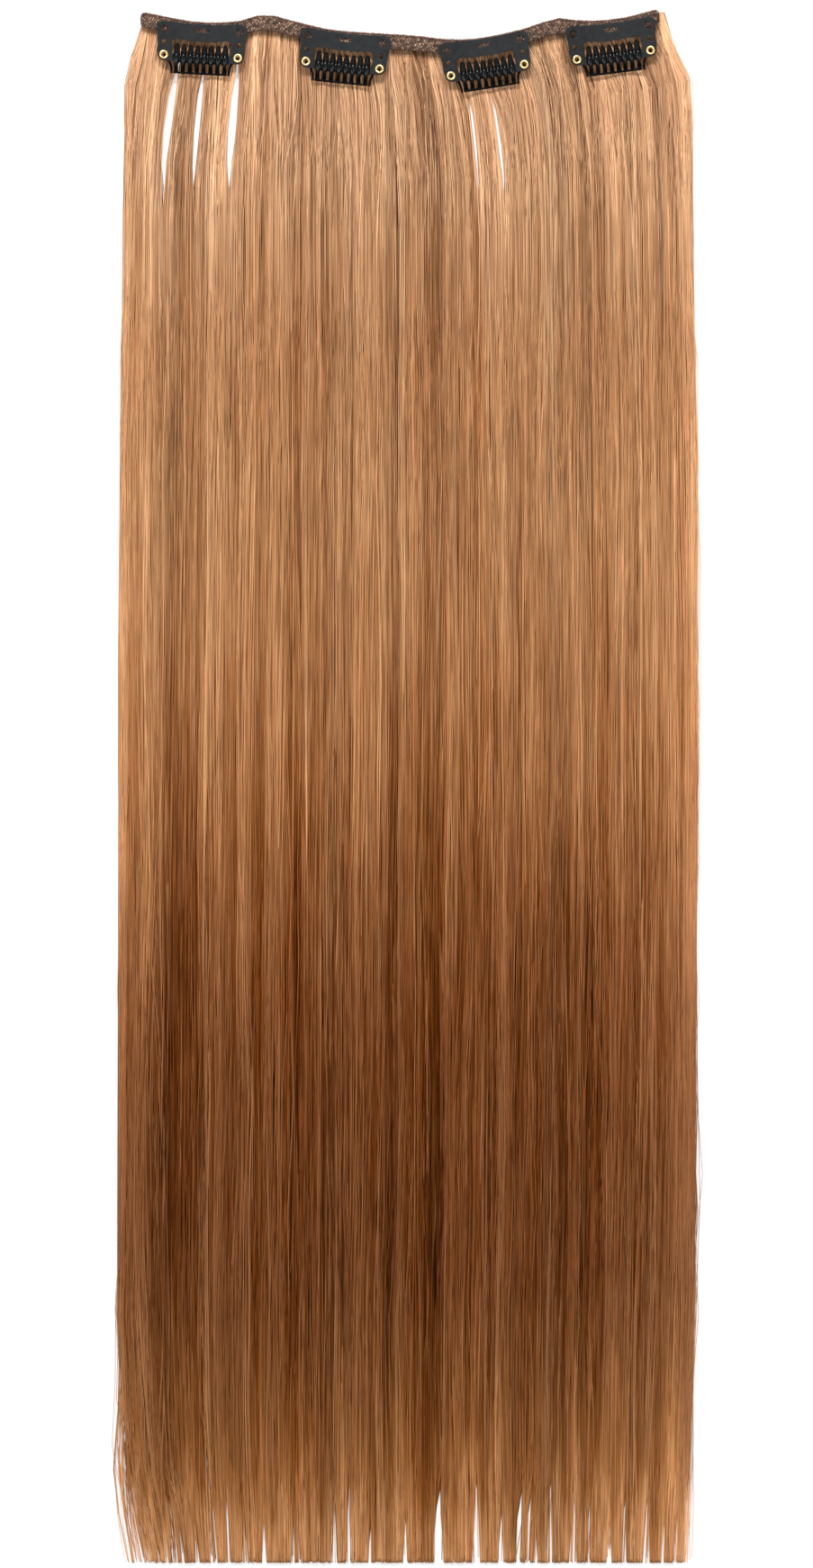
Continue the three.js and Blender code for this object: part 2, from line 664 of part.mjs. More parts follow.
const extension = new THREE.Group();
extension.add(piece('lace_band', geometryOf(bandSolid()), 'lace'));
extension.add(piece('hair', geometryOf(hairSolid()), 'hair'));
clipPlaces.forEach(({ x, y, turn }, k) => {
  const clip = clipGroup(k + 1);
  clip.position.set(x, y, PLATE_LOW);
  clip.rotation.z = turn;
  extension.add(clip);
});

export default extension;
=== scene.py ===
"""Clip-in hair extension: the looks of one wide weft of straight hair, lying flat, clips up."""

import json
import math

import bmesh
import bpy
import numpy as np
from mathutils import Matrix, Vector


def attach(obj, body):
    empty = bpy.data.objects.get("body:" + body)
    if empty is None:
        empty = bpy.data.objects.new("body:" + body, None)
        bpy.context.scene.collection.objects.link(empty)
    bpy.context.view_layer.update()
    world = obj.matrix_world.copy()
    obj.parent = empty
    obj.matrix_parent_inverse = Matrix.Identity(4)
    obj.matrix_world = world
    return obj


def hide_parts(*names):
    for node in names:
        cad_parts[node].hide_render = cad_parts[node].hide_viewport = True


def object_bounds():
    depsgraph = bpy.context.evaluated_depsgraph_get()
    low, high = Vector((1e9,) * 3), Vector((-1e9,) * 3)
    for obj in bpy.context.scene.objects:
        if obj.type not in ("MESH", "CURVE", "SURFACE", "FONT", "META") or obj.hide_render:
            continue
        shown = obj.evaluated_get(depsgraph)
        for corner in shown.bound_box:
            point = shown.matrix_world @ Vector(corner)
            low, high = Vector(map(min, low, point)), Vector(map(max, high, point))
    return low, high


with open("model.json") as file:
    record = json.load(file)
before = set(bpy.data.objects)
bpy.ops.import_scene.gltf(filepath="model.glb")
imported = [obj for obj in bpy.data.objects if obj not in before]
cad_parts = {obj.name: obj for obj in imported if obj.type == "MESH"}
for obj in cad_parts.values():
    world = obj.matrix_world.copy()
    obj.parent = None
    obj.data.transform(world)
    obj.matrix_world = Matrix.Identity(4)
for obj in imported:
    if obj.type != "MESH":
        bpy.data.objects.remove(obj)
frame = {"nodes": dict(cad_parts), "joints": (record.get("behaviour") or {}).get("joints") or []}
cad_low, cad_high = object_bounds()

MM = 0.001
SEED = 22

# The photograph: its size in pixels, the size of one in millimetres, and the pixel over the
# part's origin. Then the camera's focal length and sensor, in millimetres.
PHOTO_WIDE = 903
PHOTO_HIGH = 1742
PIXEL = 0.32
ORIGIN_PIXEL = (453.5, 873.5)
LENS = 200.0
SENSOR = 36.0

# Hair, in millimetres, with the solid's own tables as shares.
HAIR_WIDTH = 206.0
HAIR_THICK = 3.2
PARTING = 3.0
SLIT_FROM = 0.02
SLIT_TO = 0.11
SLIT_SKEW = 0.8
TIP_Y = -276.5

# Outline of the hair. down: share of its length, left and right: shares of half its width.
HAIR_EDGES = {
    "down": (0.0, 0.012, 0.025, 0.045, 0.11, 0.45, 0.8, 0.86, 0.93, 1.0),
    "left": (0.92, 0.935, 0.95, 0.965, 0.98, 0.995, 1.0, 1.0, 0.97, 0.87),
    "right": (0.868, 0.905, 0.93, 0.965, 0.98, 1.0, 0.985, 0.975, 0.96, 0.935),
}

# The hair's thickness and how far it follows the band's lift, down its length.
HAIR_BODY = {
    "down": (0.0, 0.025, 0.045, 0.07, 0.11, 0.2, 0.45, 0.68, 0.86, 0.94, 1.0),
    "thick": (0.4, 0.58, 0.68, 0.8, 0.9, 0.98, 1.0, 0.92, 0.74, 0.55, 0.34),
    "lift": (1.0, 0.5, 0.1, 0.0, 0.0, 0.0, 0.0, 0.0, 0.0, 0.0, 0.0),
}

# Lines between the locks. head: place at the band, at: place further down, as shares of the
# way across; slit: widest gap under the band, tip: widest gap between the tips, as shares of
# PARTING; tip_from: where the tips part, as a share of the length.
LOCK_LINES = {
    "head": (0, 0.083, 0.131, 0.193, 0.25, 0.31, 0.372, 0.433, 0.495, 0.552, 0.608, 0.648,
             0.72, 0.79, 0.86, 0.93, 1),
    "at": (0, 0.066, 0.12, 0.182, 0.25, 0.313, 0.377, 0.44, 0.502, 0.565, 0.626, 0.671,
           0.73, 0.797, 0.863, 0.932, 1),
    "slit": (0, 0.95, 0.75, 1.0, 0, 0, 0, 0, 0, 0, 0.45, 0.45, 0, 0, 0, 0, 0),
    "tip": (0, 0.9, 0.5, 0.6, 0.5, 0.7, 0.8, 0.5, 0.6, 0.5, 0.9, 0.5, 0.7, 0.9, 0.6, 0.8, 0),
    "tip_from": (0, 0.9, 0.95, 0.93, 0.96, 0.95, 0.94, 0.96, 0.95, 0.97, 0.92, 0.95, 0.95,
                 0.93, 0.96, 0.92, 0),
}
LOCK_CROWNS = (0.84, 1.0, 0.9, 0.97, 0.86, 1.0, 0.92, 0.98, 0.88, 0.96, 0.9, 1.0, 0.87, 0.95,
               1.0, 0.84)

# Finer gaps between the tips, besides those of the locks. at: place across, wide: widest gap
# as a share of PARTING, start: where the tips part, as a share of the length.
TIP_GAPS = {
    "at": (0.018, 0.042, 0.09, 0.154, 0.216, 0.302, 0.4, 0.552, 0.695, 0.714, 0.754, 0.822,
           0.889, 0.965, 0.99),
    "wide": (0.5, 0.4, 0.2, 0.7, 0.3, 0.4, 0.6, 0.25, 0.25, 0.3, 0.7, 0.3, 0.6, 0.35, 0.35),
    "start": (0.86, 0.88, 0.95, 0.915, 0.95, 0.945, 0.935, 0.96, 0.965, 0.955, 0.93, 0.95, 0.935,
              0.95, 0.93),
}

# Strands. STATIONS are shares of a strand's length, closer together near the band. The last
# stretch is short, because the closed end turns the shading of the stretch beside it.
STATIONS = np.array((0, 0.024, 0.042, 0.064, 0.09, 0.125, 0.17, 0.225, 0.29, 0.355, 0.42,
                     0.49, 0.56, 0.63, 0.7, 0.77, 0.84, 0.9, 0.94, 0.97, 0.9985, 1.0))
BUNDLES = 6
STRANDS = 890
TRESSES = 150
KNOTS = 14
RIBBONS = 260
STRAYS = 240

# How far the edge of the dye and of the painted sheen wanders along the hair, as a share of its
# length. Sizes across and along the hair, in millimetres, of its patches and of the grain in a
# fibre's own shade.
DYE_AND_SHEEN_RAGGED = 0.2
DYE_PATCH = (5.0, 90.0)
FIBRE_GRAIN = (0.5, 17.0)

# How far the fibre's grain and the patches change a strand's shade. Then how the shade turns
# to brightness, and how ruddiness turns to saturation and to hue.
FIBRE_DEPTH = 0.8
PATCH_DEPTH = 0.3
PALE_COOLS = -1.25
SHADE_TO_VALUE = {"From Min": 0.2, "From Max": 2.0, "To Min": 0.12, "To Max": 2.24}
RUDDY_TO_RICH = {"From Min": -1.5, "From Max": 0.1, "To Min": 0.88, "To Max": 1.1}
RUDDY_TO_HUE = {"From Min": -1.5, "From Max": 0.1, "To Min": 0.51, "To Max": 0.491}

# How much paler the hair is at its left and right edge and how far in that reaches in
# millimetres; and down the hair, how much of that shows and how far the strands differ.
EDGE_PALE = {"left": (0.45, 5.0), "right": (0.7, 10.0)}
EDGE_RUN = ((0, 0.1, 0.25, 0.45, 0.6, 0.8, 0.93, 1.0), (0.1, 0.2, 0.5, 0.7, 2.0, 1.8, 0.8, 0.3))
CONTRAST = ((0, 0.08, 0.16, 0.4, 0.58, 0.7, 0.85, 0.94, 1.0),
            (1.9, 1.5, 1.0, 0.95, 1.8, 2.0, 2.0, 1.1, 1.0))
MIDDLE_TONE = 0.42

FLOOR_FINISH = {
    "Roughness": 0.9,
    "Specular IOR Level": 0.1,
    "Emission Color": (1, 1, 1, 1),
    "Emission Strength": 0.4,
}

# Clip, in millimetres, in its own frame: x along the plate, y up the plate from the line of
# the sewing holes, z up from the plate's underside in its middle.
PLATE_HALF = 16.25
PLATE_TOP = 2.8
PLATE_BOTTOM = -11.35
PLATE_THICK = 0.5
PLATE_BOW = 2.0
BEND_STEP = 1.6
PLATE_LOW = 3.4
CLIP_HEIGHT = 4.0
BOW_RADIUS = (PLATE_HALF**2 + PLATE_BOW**2) / (2 * PLATE_BOW)
WINDOW_HALF = 10.35
WINDOW_TOP = -3.6
WINDOW_BOTTOM = -8.6
HOLE_X = 13.3
EYELET_Y = -9.15
TEETH = 8
TOOTH_PITCH = 2.45
RAIL_Y = -15.2
RAIL_HALF = 9.375
ARM_Z = -0.5
ARM_WIDTH = 0.9
RUNG_Z = 1.05
TOOTH_X = (np.arange(TEETH) - (TEETH - 1) / 2) * TOOTH_PITCH

X_AXIS, Y_AXIS, Z_AXIS = np.eye(3)


def linear(code):
    """An sRGB hex colour as linear red, green, blue and alpha."""
    levels = [int(code[k : k + 2], 16) / 255 for k in (1, 3, 5)]
    return [v / 12.92 if v <= 0.04045 else ((v + 0.055) / 1.055) ** 2.4 for v in levels] + [1]


def smoothstep(value, low, high):
    t = np.clip((value - low) / (high - low), 0, 1)
    return t * t * (3 - 2 * t)


def unit(vectors):
    """The vectors, which run along the last axis, at length 1."""
    return vectors / np.linalg.norm(vectors, axis=-1, keepdims=True)


def bow(x):
    """Rise of the plate's arc, whose ends are higher than its middle."""
    return BOW_RADIUS - np.sqrt(BOW_RADIUS**2 - np.clip(np.abs(x), 0, PLATE_HALF) ** 2)


def add_node(tree, kind, inputs=None, stops=(), **settings):
    """Adds a node with its settings and links. An input is a value, or a socket to link from;
    stops are the places and colours of a ramp."""
    node = tree.nodes.new(kind)
    for name, value in settings.items():
        setattr(node, name, value)
    for name, value in (inputs or {}).items():
        if isinstance(value, bpy.types.NodeSocket):
            tree.links.new(value, node.inputs[name])
        else:
            node.inputs[name].default_value = value
    for spare in range(len(stops) - 2):
        node.color_ramp.elements.new(0.5)
    for k, (place, code) in enumerate(stops):
        node.color_ramp.elements[k].position = place
        node.color_ramp.elements[k].color = linear(code)
    return node


def new_material(name, **finish):
    """An empty node material and its Principled shader, with constant values set on it."""
    material = bpy.data.materials.new(name)
    material.use_nodes = True
    tree = material.node_tree
    tree.nodes.clear()
    shader = add_node(tree, "ShaderNodeBsdfPrincipled", finish)
    output = add_node(tree, "ShaderNodeOutputMaterial")
    tree.links.new(shader.outputs["BSDF"], output.inputs["Surface"])
    return material, tree, shader


def mottled(name, stops, grain, grit, depth, sheen=0.0, **finish):
    """A material whose colour runs through the stops in soft grains, with a finer relief.
    grain and grit are the sizes of the colour's and the relief's grains and depth is the
    relief's, all in millimetres; sheen is how far the roughness varies with the colour."""
    material, tree, shader = new_material(name, **finish)
    place = add_node(tree, "ShaderNodeTexCoord").outputs["Object"]
    tone = add_node(tree, "ShaderNodeTexNoise", {"Vector": place, "Scale": 1 / (grain * MM)})
    colour = add_node(tree, "ShaderNodeValToRGB", {"Fac": tone.outputs["Fac"]}, stops)
    tree.links.new(colour.outputs["Color"], shader.inputs["Base Color"])
    if sheen:
        rough = finish["Roughness"]
        varied = add_node(
            tree,
            "ShaderNodeMapRange",
            {"Value": tone.outputs["Fac"], "To Min": rough - sheen, "To Max": rough + sheen},
        )
        tree.links.new(varied.outputs["Result"], shader.inputs["Roughness"])
    grits = add_node(tree, "ShaderNodeTexNoise", {"Vector": place, "Scale": 1 / (grit * MM)})
    bump = add_node(
        tree, "ShaderNodeBump", {"Height": grits.outputs["Fac"], "Distance": depth * MM}
    )
    tree.links.new(bump.outputs["Normal"], shader.inputs["Normal"])
    return material


# Dyed hair: smooth keratin fibres. Warm light brown at the band, deeper brown from the middle down
# and paler tips: partly the dye and partly painted light. The pale upper stretch holds a painted
# sheen, the ramp is lifted down the hair to make up for the key light's falloff, and the paler
# tips are painted light through the thin ends. Each strand has its own tone, so the fall shows
# fine streaks.
HAIR_TONES = [
    (0.0, "#c48b5b"),
    (0.03, "#b87e4d"),
    (0.06, "#985f30"),
    (0.11, "#844e25"),
    (0.18, "#733e18"),
    (0.28, "#743d15"),
    (0.36, "#7b4219"),
    (0.42, "#8a5026"),
    (0.48, "#9e6336"),
    (0.54, "#ab7144"),
    (0.6, "#b67e51"),
    (0.68, "#b88357"),
    (0.78, "#b58056"),
    (0.9, "#c2946d"),
    (1.0, "#c2946f"),
]


def grain_scale(across, along):
    """Scale of a pattern on the hair whose grains have those sizes in millimetres."""
    return (1 / (across * MM), 1 / (along * MM), 1 / (across * MM))


def hair_material():
    material, tree, shader = new_material(
        "dyed_hair_painted_sheen", **{"Roughness": 0.45, "IOR": 1.55, "Specular IOR Level": 0.22}
    )
    shader.inputs["Specular Tint"].default_value = linear("#e8b98c")
    place = add_node(tree, "ShaderNodeTexCoord").outputs["Object"]
    height = add_node(tree, "ShaderNodeSeparateXYZ", {"Vector": place}).outputs["Y"]
    up = add_node(
        tree,
        "ShaderNodeMapRange",
        {"Value": height, "From Min": cad_low.y, "From Max": cad_high.y},
    ).outputs["Result"]
    tone = add_node(tree, "ShaderNodeAttribute", attribute_name="tone").outputs["Fac"]
    warmth = add_node(tree, "ShaderNodeAttribute", attribute_name="warmth").outputs["Fac"]
    # The ramp of dye and painted sheen ends a little higher on one tress than on the next, and a
    # fibre's own shade drifts along its length.
    patch_place = add_node(
        tree, "ShaderNodeMapping", {"Vector": place, "Scale": grain_scale(*DYE_PATCH)}
    ).outputs["Vector"]
    patch = add_node(tree, "ShaderNodeTexNoise", {"Vector": patch_place, "Scale": 1.0})
    fine_place = add_node(
        tree, "ShaderNodeMapping", {"Vector": place, "Scale": grain_scale(*FIBRE_GRAIN)}
    ).outputs["Vector"]
    fine = add_node(tree, "ShaderNodeTexNoise", {"Vector": fine_place, "Scale": 1.0})
    ragged = add_node(
        tree,
        "ShaderNodeMath",
        {0: patch.outputs["Fac"], 1: DYE_AND_SHEEN_RAGGED, 2: up},
        operation="MULTIPLY_ADD",
    ).outputs["Value"]
    # The ramp down the hair: the dye, with painted sheen on the upper stretch and painted light at
    # the tips and along the lower half.
    colour = add_node(
        tree,
        "ShaderNodeValToRGB",
        {"Fac": ragged},
        [(share + DYE_AND_SHEEN_RAGGED / 2, code) for share, code in HAIR_TONES],
    ).outputs["Color"]
    shade = add_node(
        tree,
        "ShaderNodeMath",
        {0: fine.outputs["Fac"], 1: FIBRE_DEPTH, 2: tone},
        operation="MULTIPLY_ADD",
    ).outputs["Value"]
    shade = add_node(
        tree,
        "ShaderNodeMath",
        {0: patch.outputs["Fac"], 1: PATCH_DEPTH, 2: shade},
        operation="MULTIPLY_ADD",
    ).outputs["Value"]
    value = add_node(
        tree, "ShaderNodeMapRange", {"Value": shade, **SHADE_TO_VALUE}
    ).outputs["Result"]
    # Pale strands are more golden and less saturated than dark ones, and warm ones redder.
    ruddy = add_node(
        tree, "ShaderNodeMath", {0: shade, 1: PALE_COOLS, 2: warmth}, operation="MULTIPLY_ADD"
    ).outputs["Value"]
    rich = add_node(
        tree, "ShaderNodeMapRange", {"Value": ruddy, **RUDDY_TO_RICH}
    ).outputs["Result"]
    hue = add_node(
        tree, "ShaderNodeMapRange", {"Value": ruddy, **RUDDY_TO_HUE}
    ).outputs["Result"]
    toned = add_node(
        tree,
        "ShaderNodeHueSaturation",
        {"Color": colour, "Value": value, "Saturation": rich, "Hue": hue},
    )
    tree.links.new(toned.outputs["Color"], shader.inputs["Base Color"])
    return material


# Knitted polyamide lace: matt, dark purple-brown thread.
def lace_material():
    stops = [(0.35, "#2f1e1b"), (0.55, "#48312b"), (0.7, "#7d5a4b")]
    return mottled("lace_thread", stops, 1.2, 0.12, 0.03, Roughness=0.75, IOR=1.53)


# The folded ends of the hair under the lace: brown fibre with pale flecks.
def ground_material():
    stops = [(0.34, "#4b352e"), (0.5, "#8a6652"), (0.64, "#dcb592")]
    return mottled("folded_hair_ends", stops, 0.9, 0.3, 0.15, Roughness=0.6, IOR=1.55)


# The sewn hair of the seam: twisted, rust-brown.
def seam_material():
    stops = [(0.35, "#5f3523"), (0.65, "#9c6544")]
    return mottled("sewn_hair_seam", stops, 0.6, 0.2, 0.05, Roughness=0.6, IOR=1.55)


# Satin black enamel on pressed steel: a soft grey sheen and a faint orange peel.
def enamel_material():
    stops = [(0.35, "#111315"), (0.65, "#191b1d")]
    return mottled("satin_black_enamel", stops, 2.0, 0.5, 0.01, 0.07,
                   **{"Roughness": 0.43, "IOR": 1.5, "Specular IOR Level": 0.36})


# Blackened spring steel: darker and closer than the plate's enamel, nearly without sheen.
def spring_material():
    stops = [(0.35, "#040404"), (0.65, "#0a0a0b")]
    return mottled("blackened_spring_steel", stops, 1.0, 0.4, 0.01, 0.05,
                   **{"Roughness": 0.5, "IOR": 1.5, "Specular IOR Level": 0.06})


# Moulded black silicone: glossy, with sharp small highlights.
def silicone_material():
    stops = [(0.4, "#08090a"), (0.6, "#0f1113")]
    return mottled("black_silicone", stops, 1.0, 0.4, 0.01, Roughness=0.22, IOR=1.43)


# Rolled brass: bright, pale gold, with fine turning marks.
def brass_material():
    stops = [(0.35, "#f4d583"), (0.65, "#fff2c2")]
    return mottled("rolled_brass", stops, 0.8, 0.2, 0.01, Metallic=1.0, Roughness=0.42)


# Spun polyester sewing thread: dark brown, matt, with a slight twist.
def thread_material():
    stops = [(0.4, "#1b1413"), (0.6, "#33261f")]
    return mottled("sewing_thread", stops, 0.15, 0.1, 0.02, Roughness=0.7, IOR=1.5)


# Plain matt acrylic board, softly lit from below, so that no shadow greys it.
def floor_material():
    stops = [(0.4, "#d2d2d2"), (0.6, "#d6d6d6")]
    return mottled("lit_acrylic_board", stops, 60, 1, 0.01, **FLOOR_FINISH)


def put_mesh(name, points, faces, material):
    """A mesh object from whole arrays: points (n, 3) in millimetres, faces of any width."""
    loops = np.concatenate([face.ravel() for face in faces]).astype(np.int32)
    sizes = np.concatenate([np.full(len(face), face.shape[1]) for face in faces])
    starts = (np.cumsum(sizes) - sizes).astype(np.int32)
    mesh = bpy.data.meshes.new(name)
    mesh.vertices.add(len(points))
    mesh.vertices.foreach_set("co", (points * MM).astype(np.float32).ravel())
    mesh.loops.add(len(loops))
    mesh.loops.foreach_set("vertex_index", loops)
    mesh.polygons.add(len(sizes))
    mesh.polygons.foreach_set("loop_start", starts)
    mesh.update(calc_edges=True)
    mesh.shade_smooth()
    mesh.materials.append(material)
    thing = bpy.data.objects.new(name, mesh)
    bpy.context.scene.collection.objects.link(thing)
    return thing


def skin(rings, looped=False):
    """Points and faces of closed tubes: rings (tube, station, corner, 3) run round each path,
    and each is joined to the next. The ends are closed by one face each, or, looped, the last
    ring is joined to the first."""
    tubes, stations, corners = rings.shape[:3]
    index = np.arange(tubes * stations * corners).reshape(tubes, stations, corners)
    here = index if looped else index[:, :-1]
    there = np.roll(index, -1, axis=1) if looped else index[:, 1:]
    sides = np.stack([here, np.roll(here, -1, 2), np.roll(there, -1, 2), there], -1)
    faces = [sides.reshape(-1, 4)]
    if not looped:
        faces += [index[:, 0, ::-1], index[:, -1, :]]
    return rings.reshape(-1, 3), faces


def ring_round(centres, side, up, wide, high, corners, power=1.0):
    """Rings round paths: at each centre a closed curve with half sizes wide and high along
    side and up. Power 1 is an ellipse, and below 1 it is squarer."""
    angle = np.arange(corners) * 2 * np.pi / corners
    c = np.sign(np.cos(angle)) * np.abs(np.cos(angle)) ** power
    s = np.sign(np.sin(angle)) * np.abs(np.sin(angle)) ** power
    across = np.multiply.outer(wide, c)[..., None] * side[..., None, :]
    upward = np.multiply.outer(high, s)[..., None] * up[..., None, :]
    return centres[..., None, :] + across + upward


def dress(thing, body, slot, *nodes):
    """The piece rides on its body and stands for those nodes. slot is not used."""
    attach(thing, body)
    if nodes:
        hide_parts(*nodes)
    return thing


class Band:
    """The band's run, read from its solid: for each place across, its two edges and heights."""

    def __init__(self, node):
        points = np.empty(len(node.data.vertices) * 3)
        node.data.vertices.foreach_get("co", points)
        points = points.reshape(-1, 3) / MM
        self.x = np.unique(points[:, 0].round(2))
        rows = [points[np.abs(points[:, 0] - x) < 0.02] for x in self.x]
        self.upper = np.array([row[:, 1].max() for row in rows])
        self.lower = np.array([row[:, 1].min() for row in rows])
        self.low = np.array([row[:, 2].min() for row in rows])
        self.high = np.array([row[:, 2].max() for row in rows])

    def at(self, x, name):
        return np.interp(x, self.x, getattr(self, name))


band = Band(frame["nodes"]["lace_band"])

# How much further out loose strands lie at the tips, as shares of half the hair's width;
# where the tips start to draw in, as a share of the length; and how far in from the edge
# that reaches, in millimetres.
FRINGE = {"left": 0.12, "right": 0.03}
TIPS_FROM = 0.86
DRAWN_OVER = 20.0

# The hair is sewn in tufts that fan out below the band: their spacing and how far their
# strands are pulled together, in millimetres, and where they have spread, as a share.
TUFT_PITCH = 9.0
TUFT_PULL = 1.4
TUFT_SPREAD = 0.07

# How a strand wanders: its lean at the band and its own swing, in millimetres; where the lean
# has settled and where it hangs free, as shares of the length; and how far it dives and
# surfaces, as a share of the thickness. TIP_CURVE bends the run of the gaps between the tips.
LEAN = 0.8
LEAN_SETTLED = 0.09
OWN_SWING = 0.5
HANGS_FREE = 0.12
DIVE = 0.28
TIP_CURVE = 1.7

# A lock is lower at its sides than in its middle, by this share.
LOCK_FALL = 0.4

# Strands: range of their half widths, in millimetres, the share of them that hang loose, how
# far short of the tips the shortest ends, in millimetres, and how unevenly few do. Spread of
# their tones and warmths, the share that are pale, and by how much.
STRAND_RADIUS = (0.13, 0.27)
LOOSE_SHARE = 0.12
SHORTEST = 34
SHORT_POWER = 7
TONE_SPREAD = 0.13
WARMTH_SPREAD = 0.12
PALE_SHARE = 0.06
PALE_MORE = 0.4
STRAND_SIDES = 3

# Ribbons under the strands: half their height as placed and as built, in millimetres.
RIBBON_PLACED = 0.14
RIBBON_BUILT = 0.13
RIBBON_SIDES = 4


def make_tresses():
    """Where each tress starts, as a share of the way across, and what its strands share:
    tone, warmth and swings."""
    rng = np.random.default_rng(SEED + 4)
    start = np.sort(rng.uniform(0, 1, TRESSES))
    start[0] = 0
    slow = 0.07 * np.sin(61 * start) * np.sin(17 * start + 1) + 0.05 * np.sin(31 * start + 2)
    blush = 0.16 * np.sin(43 * start + 1) * np.sin(23 * start)
    return {
        "start": start,
        "tone": slow + rng.normal(0, 0.08, TRESSES),
        "warmth": blush + rng.normal(0, 0.1, TRESSES),
        "swing": drift(rng, TRESSES, 0.45, 8),
    }


def drift(rng, count, size, knots=KNOTS):
    """Random swings down the strands, as (strand, station): normal values of that size at
    evenly spaced knots, with smooth steps from one knot to the next."""
    values = rng.normal(0, size, (count, knots))
    place = STATIONS * (knots - 1)
    knot = np.minimum(place.astype(int), knots - 2)
    share = smoothstep(place - knot, 0, 1)
    return values[:, knot] * (1 - share) + values[:, knot + 1] * share


def tress_of(across):
    return np.searchsorted(TRESS["start"], across, "right") - 1


def hair_x(place, loose):
    """Places across the hair, from their shares, at the stations. The shares lie evenly
    between the edges. Towards the tips the hair is drawn in by an exponential of the distance
    from each edge, and loose strands are drawn in less or keep further out."""
    half = HAIR_WIDTH / 2
    even, drawn = {}, {}
    for side in ("left", "right"):
        whole = np.minimum(STATIONS, TIPS_FROM)
        even[side] = half * np.interp(whole, HAIR_EDGES["down"], HAIR_EDGES[side])
        edge = half * np.interp(STATIONS, HAIR_EDGES["down"], HAIR_EDGES[side])
        spread = half * FRINGE[side] * smoothstep(STATIONS, TIPS_FROM, 1)
        drawn[side] = (even[side] - edge)[None, :] - spread[None, :] * loose[:, None]
    x = -even["left"] + (even["left"] + even["right"]) * place
    inward = drawn["left"] * np.exp(-(x + even["left"]) / DRAWN_OVER)
    outward = drawn["right"] * np.exp(-(even["right"] - x) / DRAWN_OVER)
    return x + inward - outward


def part_hair(x, across, loose, settle, girth):
    """Opens the slits under the band and the gaps between the tips. A strand at a distance
    from a gap's middle is moved to the hypotenuse of that distance and half the gap with its
    own half width, on the side where it grows, so that none crosses and far ones stay."""
    down = STATIONS[None, :]
    along = np.clip((down - SLIT_FROM) / (SLIT_TO - SLIT_FROM), 0, 1)
    slit_shape = np.sin(np.pi * along**SLIT_SKEW)
    lines = list(zip(*LOCK_LINES.values()))
    for at, wide, start in zip(*TIP_GAPS.values()):
        lines.append((at, at, 0, wide, start))
    for head, at, slit, tip, tip_from in lines:
        if not slit and not tip:
            continue
        line = hair_x(head + (at - head) * settle, loose)
        tips = np.clip((down - tip_from) / (1 - tip_from), 0, 1) ** TIP_CURVE
        parted = tip * tips * (1 - loose[:, None])
        gap = PARTING * np.maximum(slit * slit_shape, parted)
        side = np.where(across < head, -1.0, 1.0)[:, None]
        off = np.maximum(side * (x - line), 0)
        apart = gap / 2 + girth[:, None] * smoothstep(gap, 0, 1)
        moved = line + side * np.sqrt(off**2 + apart**2)
        x = np.where(gap > 0.01, moved, x)
    return x


def strand_paths(across, depth, radius, girth, shortfall, loose, wander, rng):
    """Centre lines of strands, as (strand, station, 3).

    across is the place along the band as a share. Down the strand it moves from the locks'
    places at the band to those further down, swings with its tress and by itself, and is
    kept out of the slits and the gaps between the tips. depth is its place in the hair's
    thickness, from 0 on the table to 1 on top, and it dives and surfaces on the way. radius
    is half its height and girth half its width."""
    down = STATIONS[None, :]
    settle = smoothstep(down, 0, SLIT_TO)
    lower = np.interp(across, LOCK_LINES["head"], LOCK_LINES["at"])
    x = hair_x(across[:, None] + (lower - across)[:, None] * settle, loose)
    phase = x / TUFT_PITCH + 0.35 * np.sin(0.11 * x)
    x = x - TUFT_PULL * np.sin(2 * np.pi * phase) * (1 - smoothstep(down, 0, TUFT_SPREAD))

    # At the band each strand leans left or right, and settles within some 50 mm.
    lean = rng.normal(0, LEAN, (len(across), 1))
    x += wander * lean * np.sin(np.pi * np.clip(down / LEAN_SETTLED, 0, 1))
    free = smoothstep(down, 0.0, HANGS_FREE)
    x += wander * free * TRESS["swing"][tress_of(across)]
    x += wander * free * drift(rng, len(across), OWN_SWING)
    x = part_hair(x, across, loose, settle, girth)

    start = band.at(x[:, :1], "upper") - rng.uniform(1.0, 4.0, (len(across), 1))
    y = start + (TIP_Y + shortfall[:, None] - start) * down

    heads = np.array(LOCK_LINES["head"])
    lock = np.clip(np.searchsorted(heads, across) - 1, 0, len(LOCK_CROWNS) - 1)
    share = (across - heads[lock]) / (heads[lock + 1] - heads[lock])
    crown = np.array(LOCK_CROWNS)[lock] * (1 - LOCK_FALL * (2 * share - 1) ** 2)
    thick = HAIR_THICK * np.interp(down, HAIR_BODY["down"], HAIR_BODY["thick"]) * crown[:, None]
    raised = np.interp(down, HAIR_BODY["down"], HAIR_BODY["lift"])
    raised = raised * (band.at(x, "low") - band.low.min())
    level = np.clip(depth[:, None] + free * drift(rng, len(across), DIVE), 0, 1)
    r = radius[:, None]
    z = raised + r + level * np.maximum(thick - 2 * r, 0)
    return np.stack([x, y, z + 0 * x], -1)


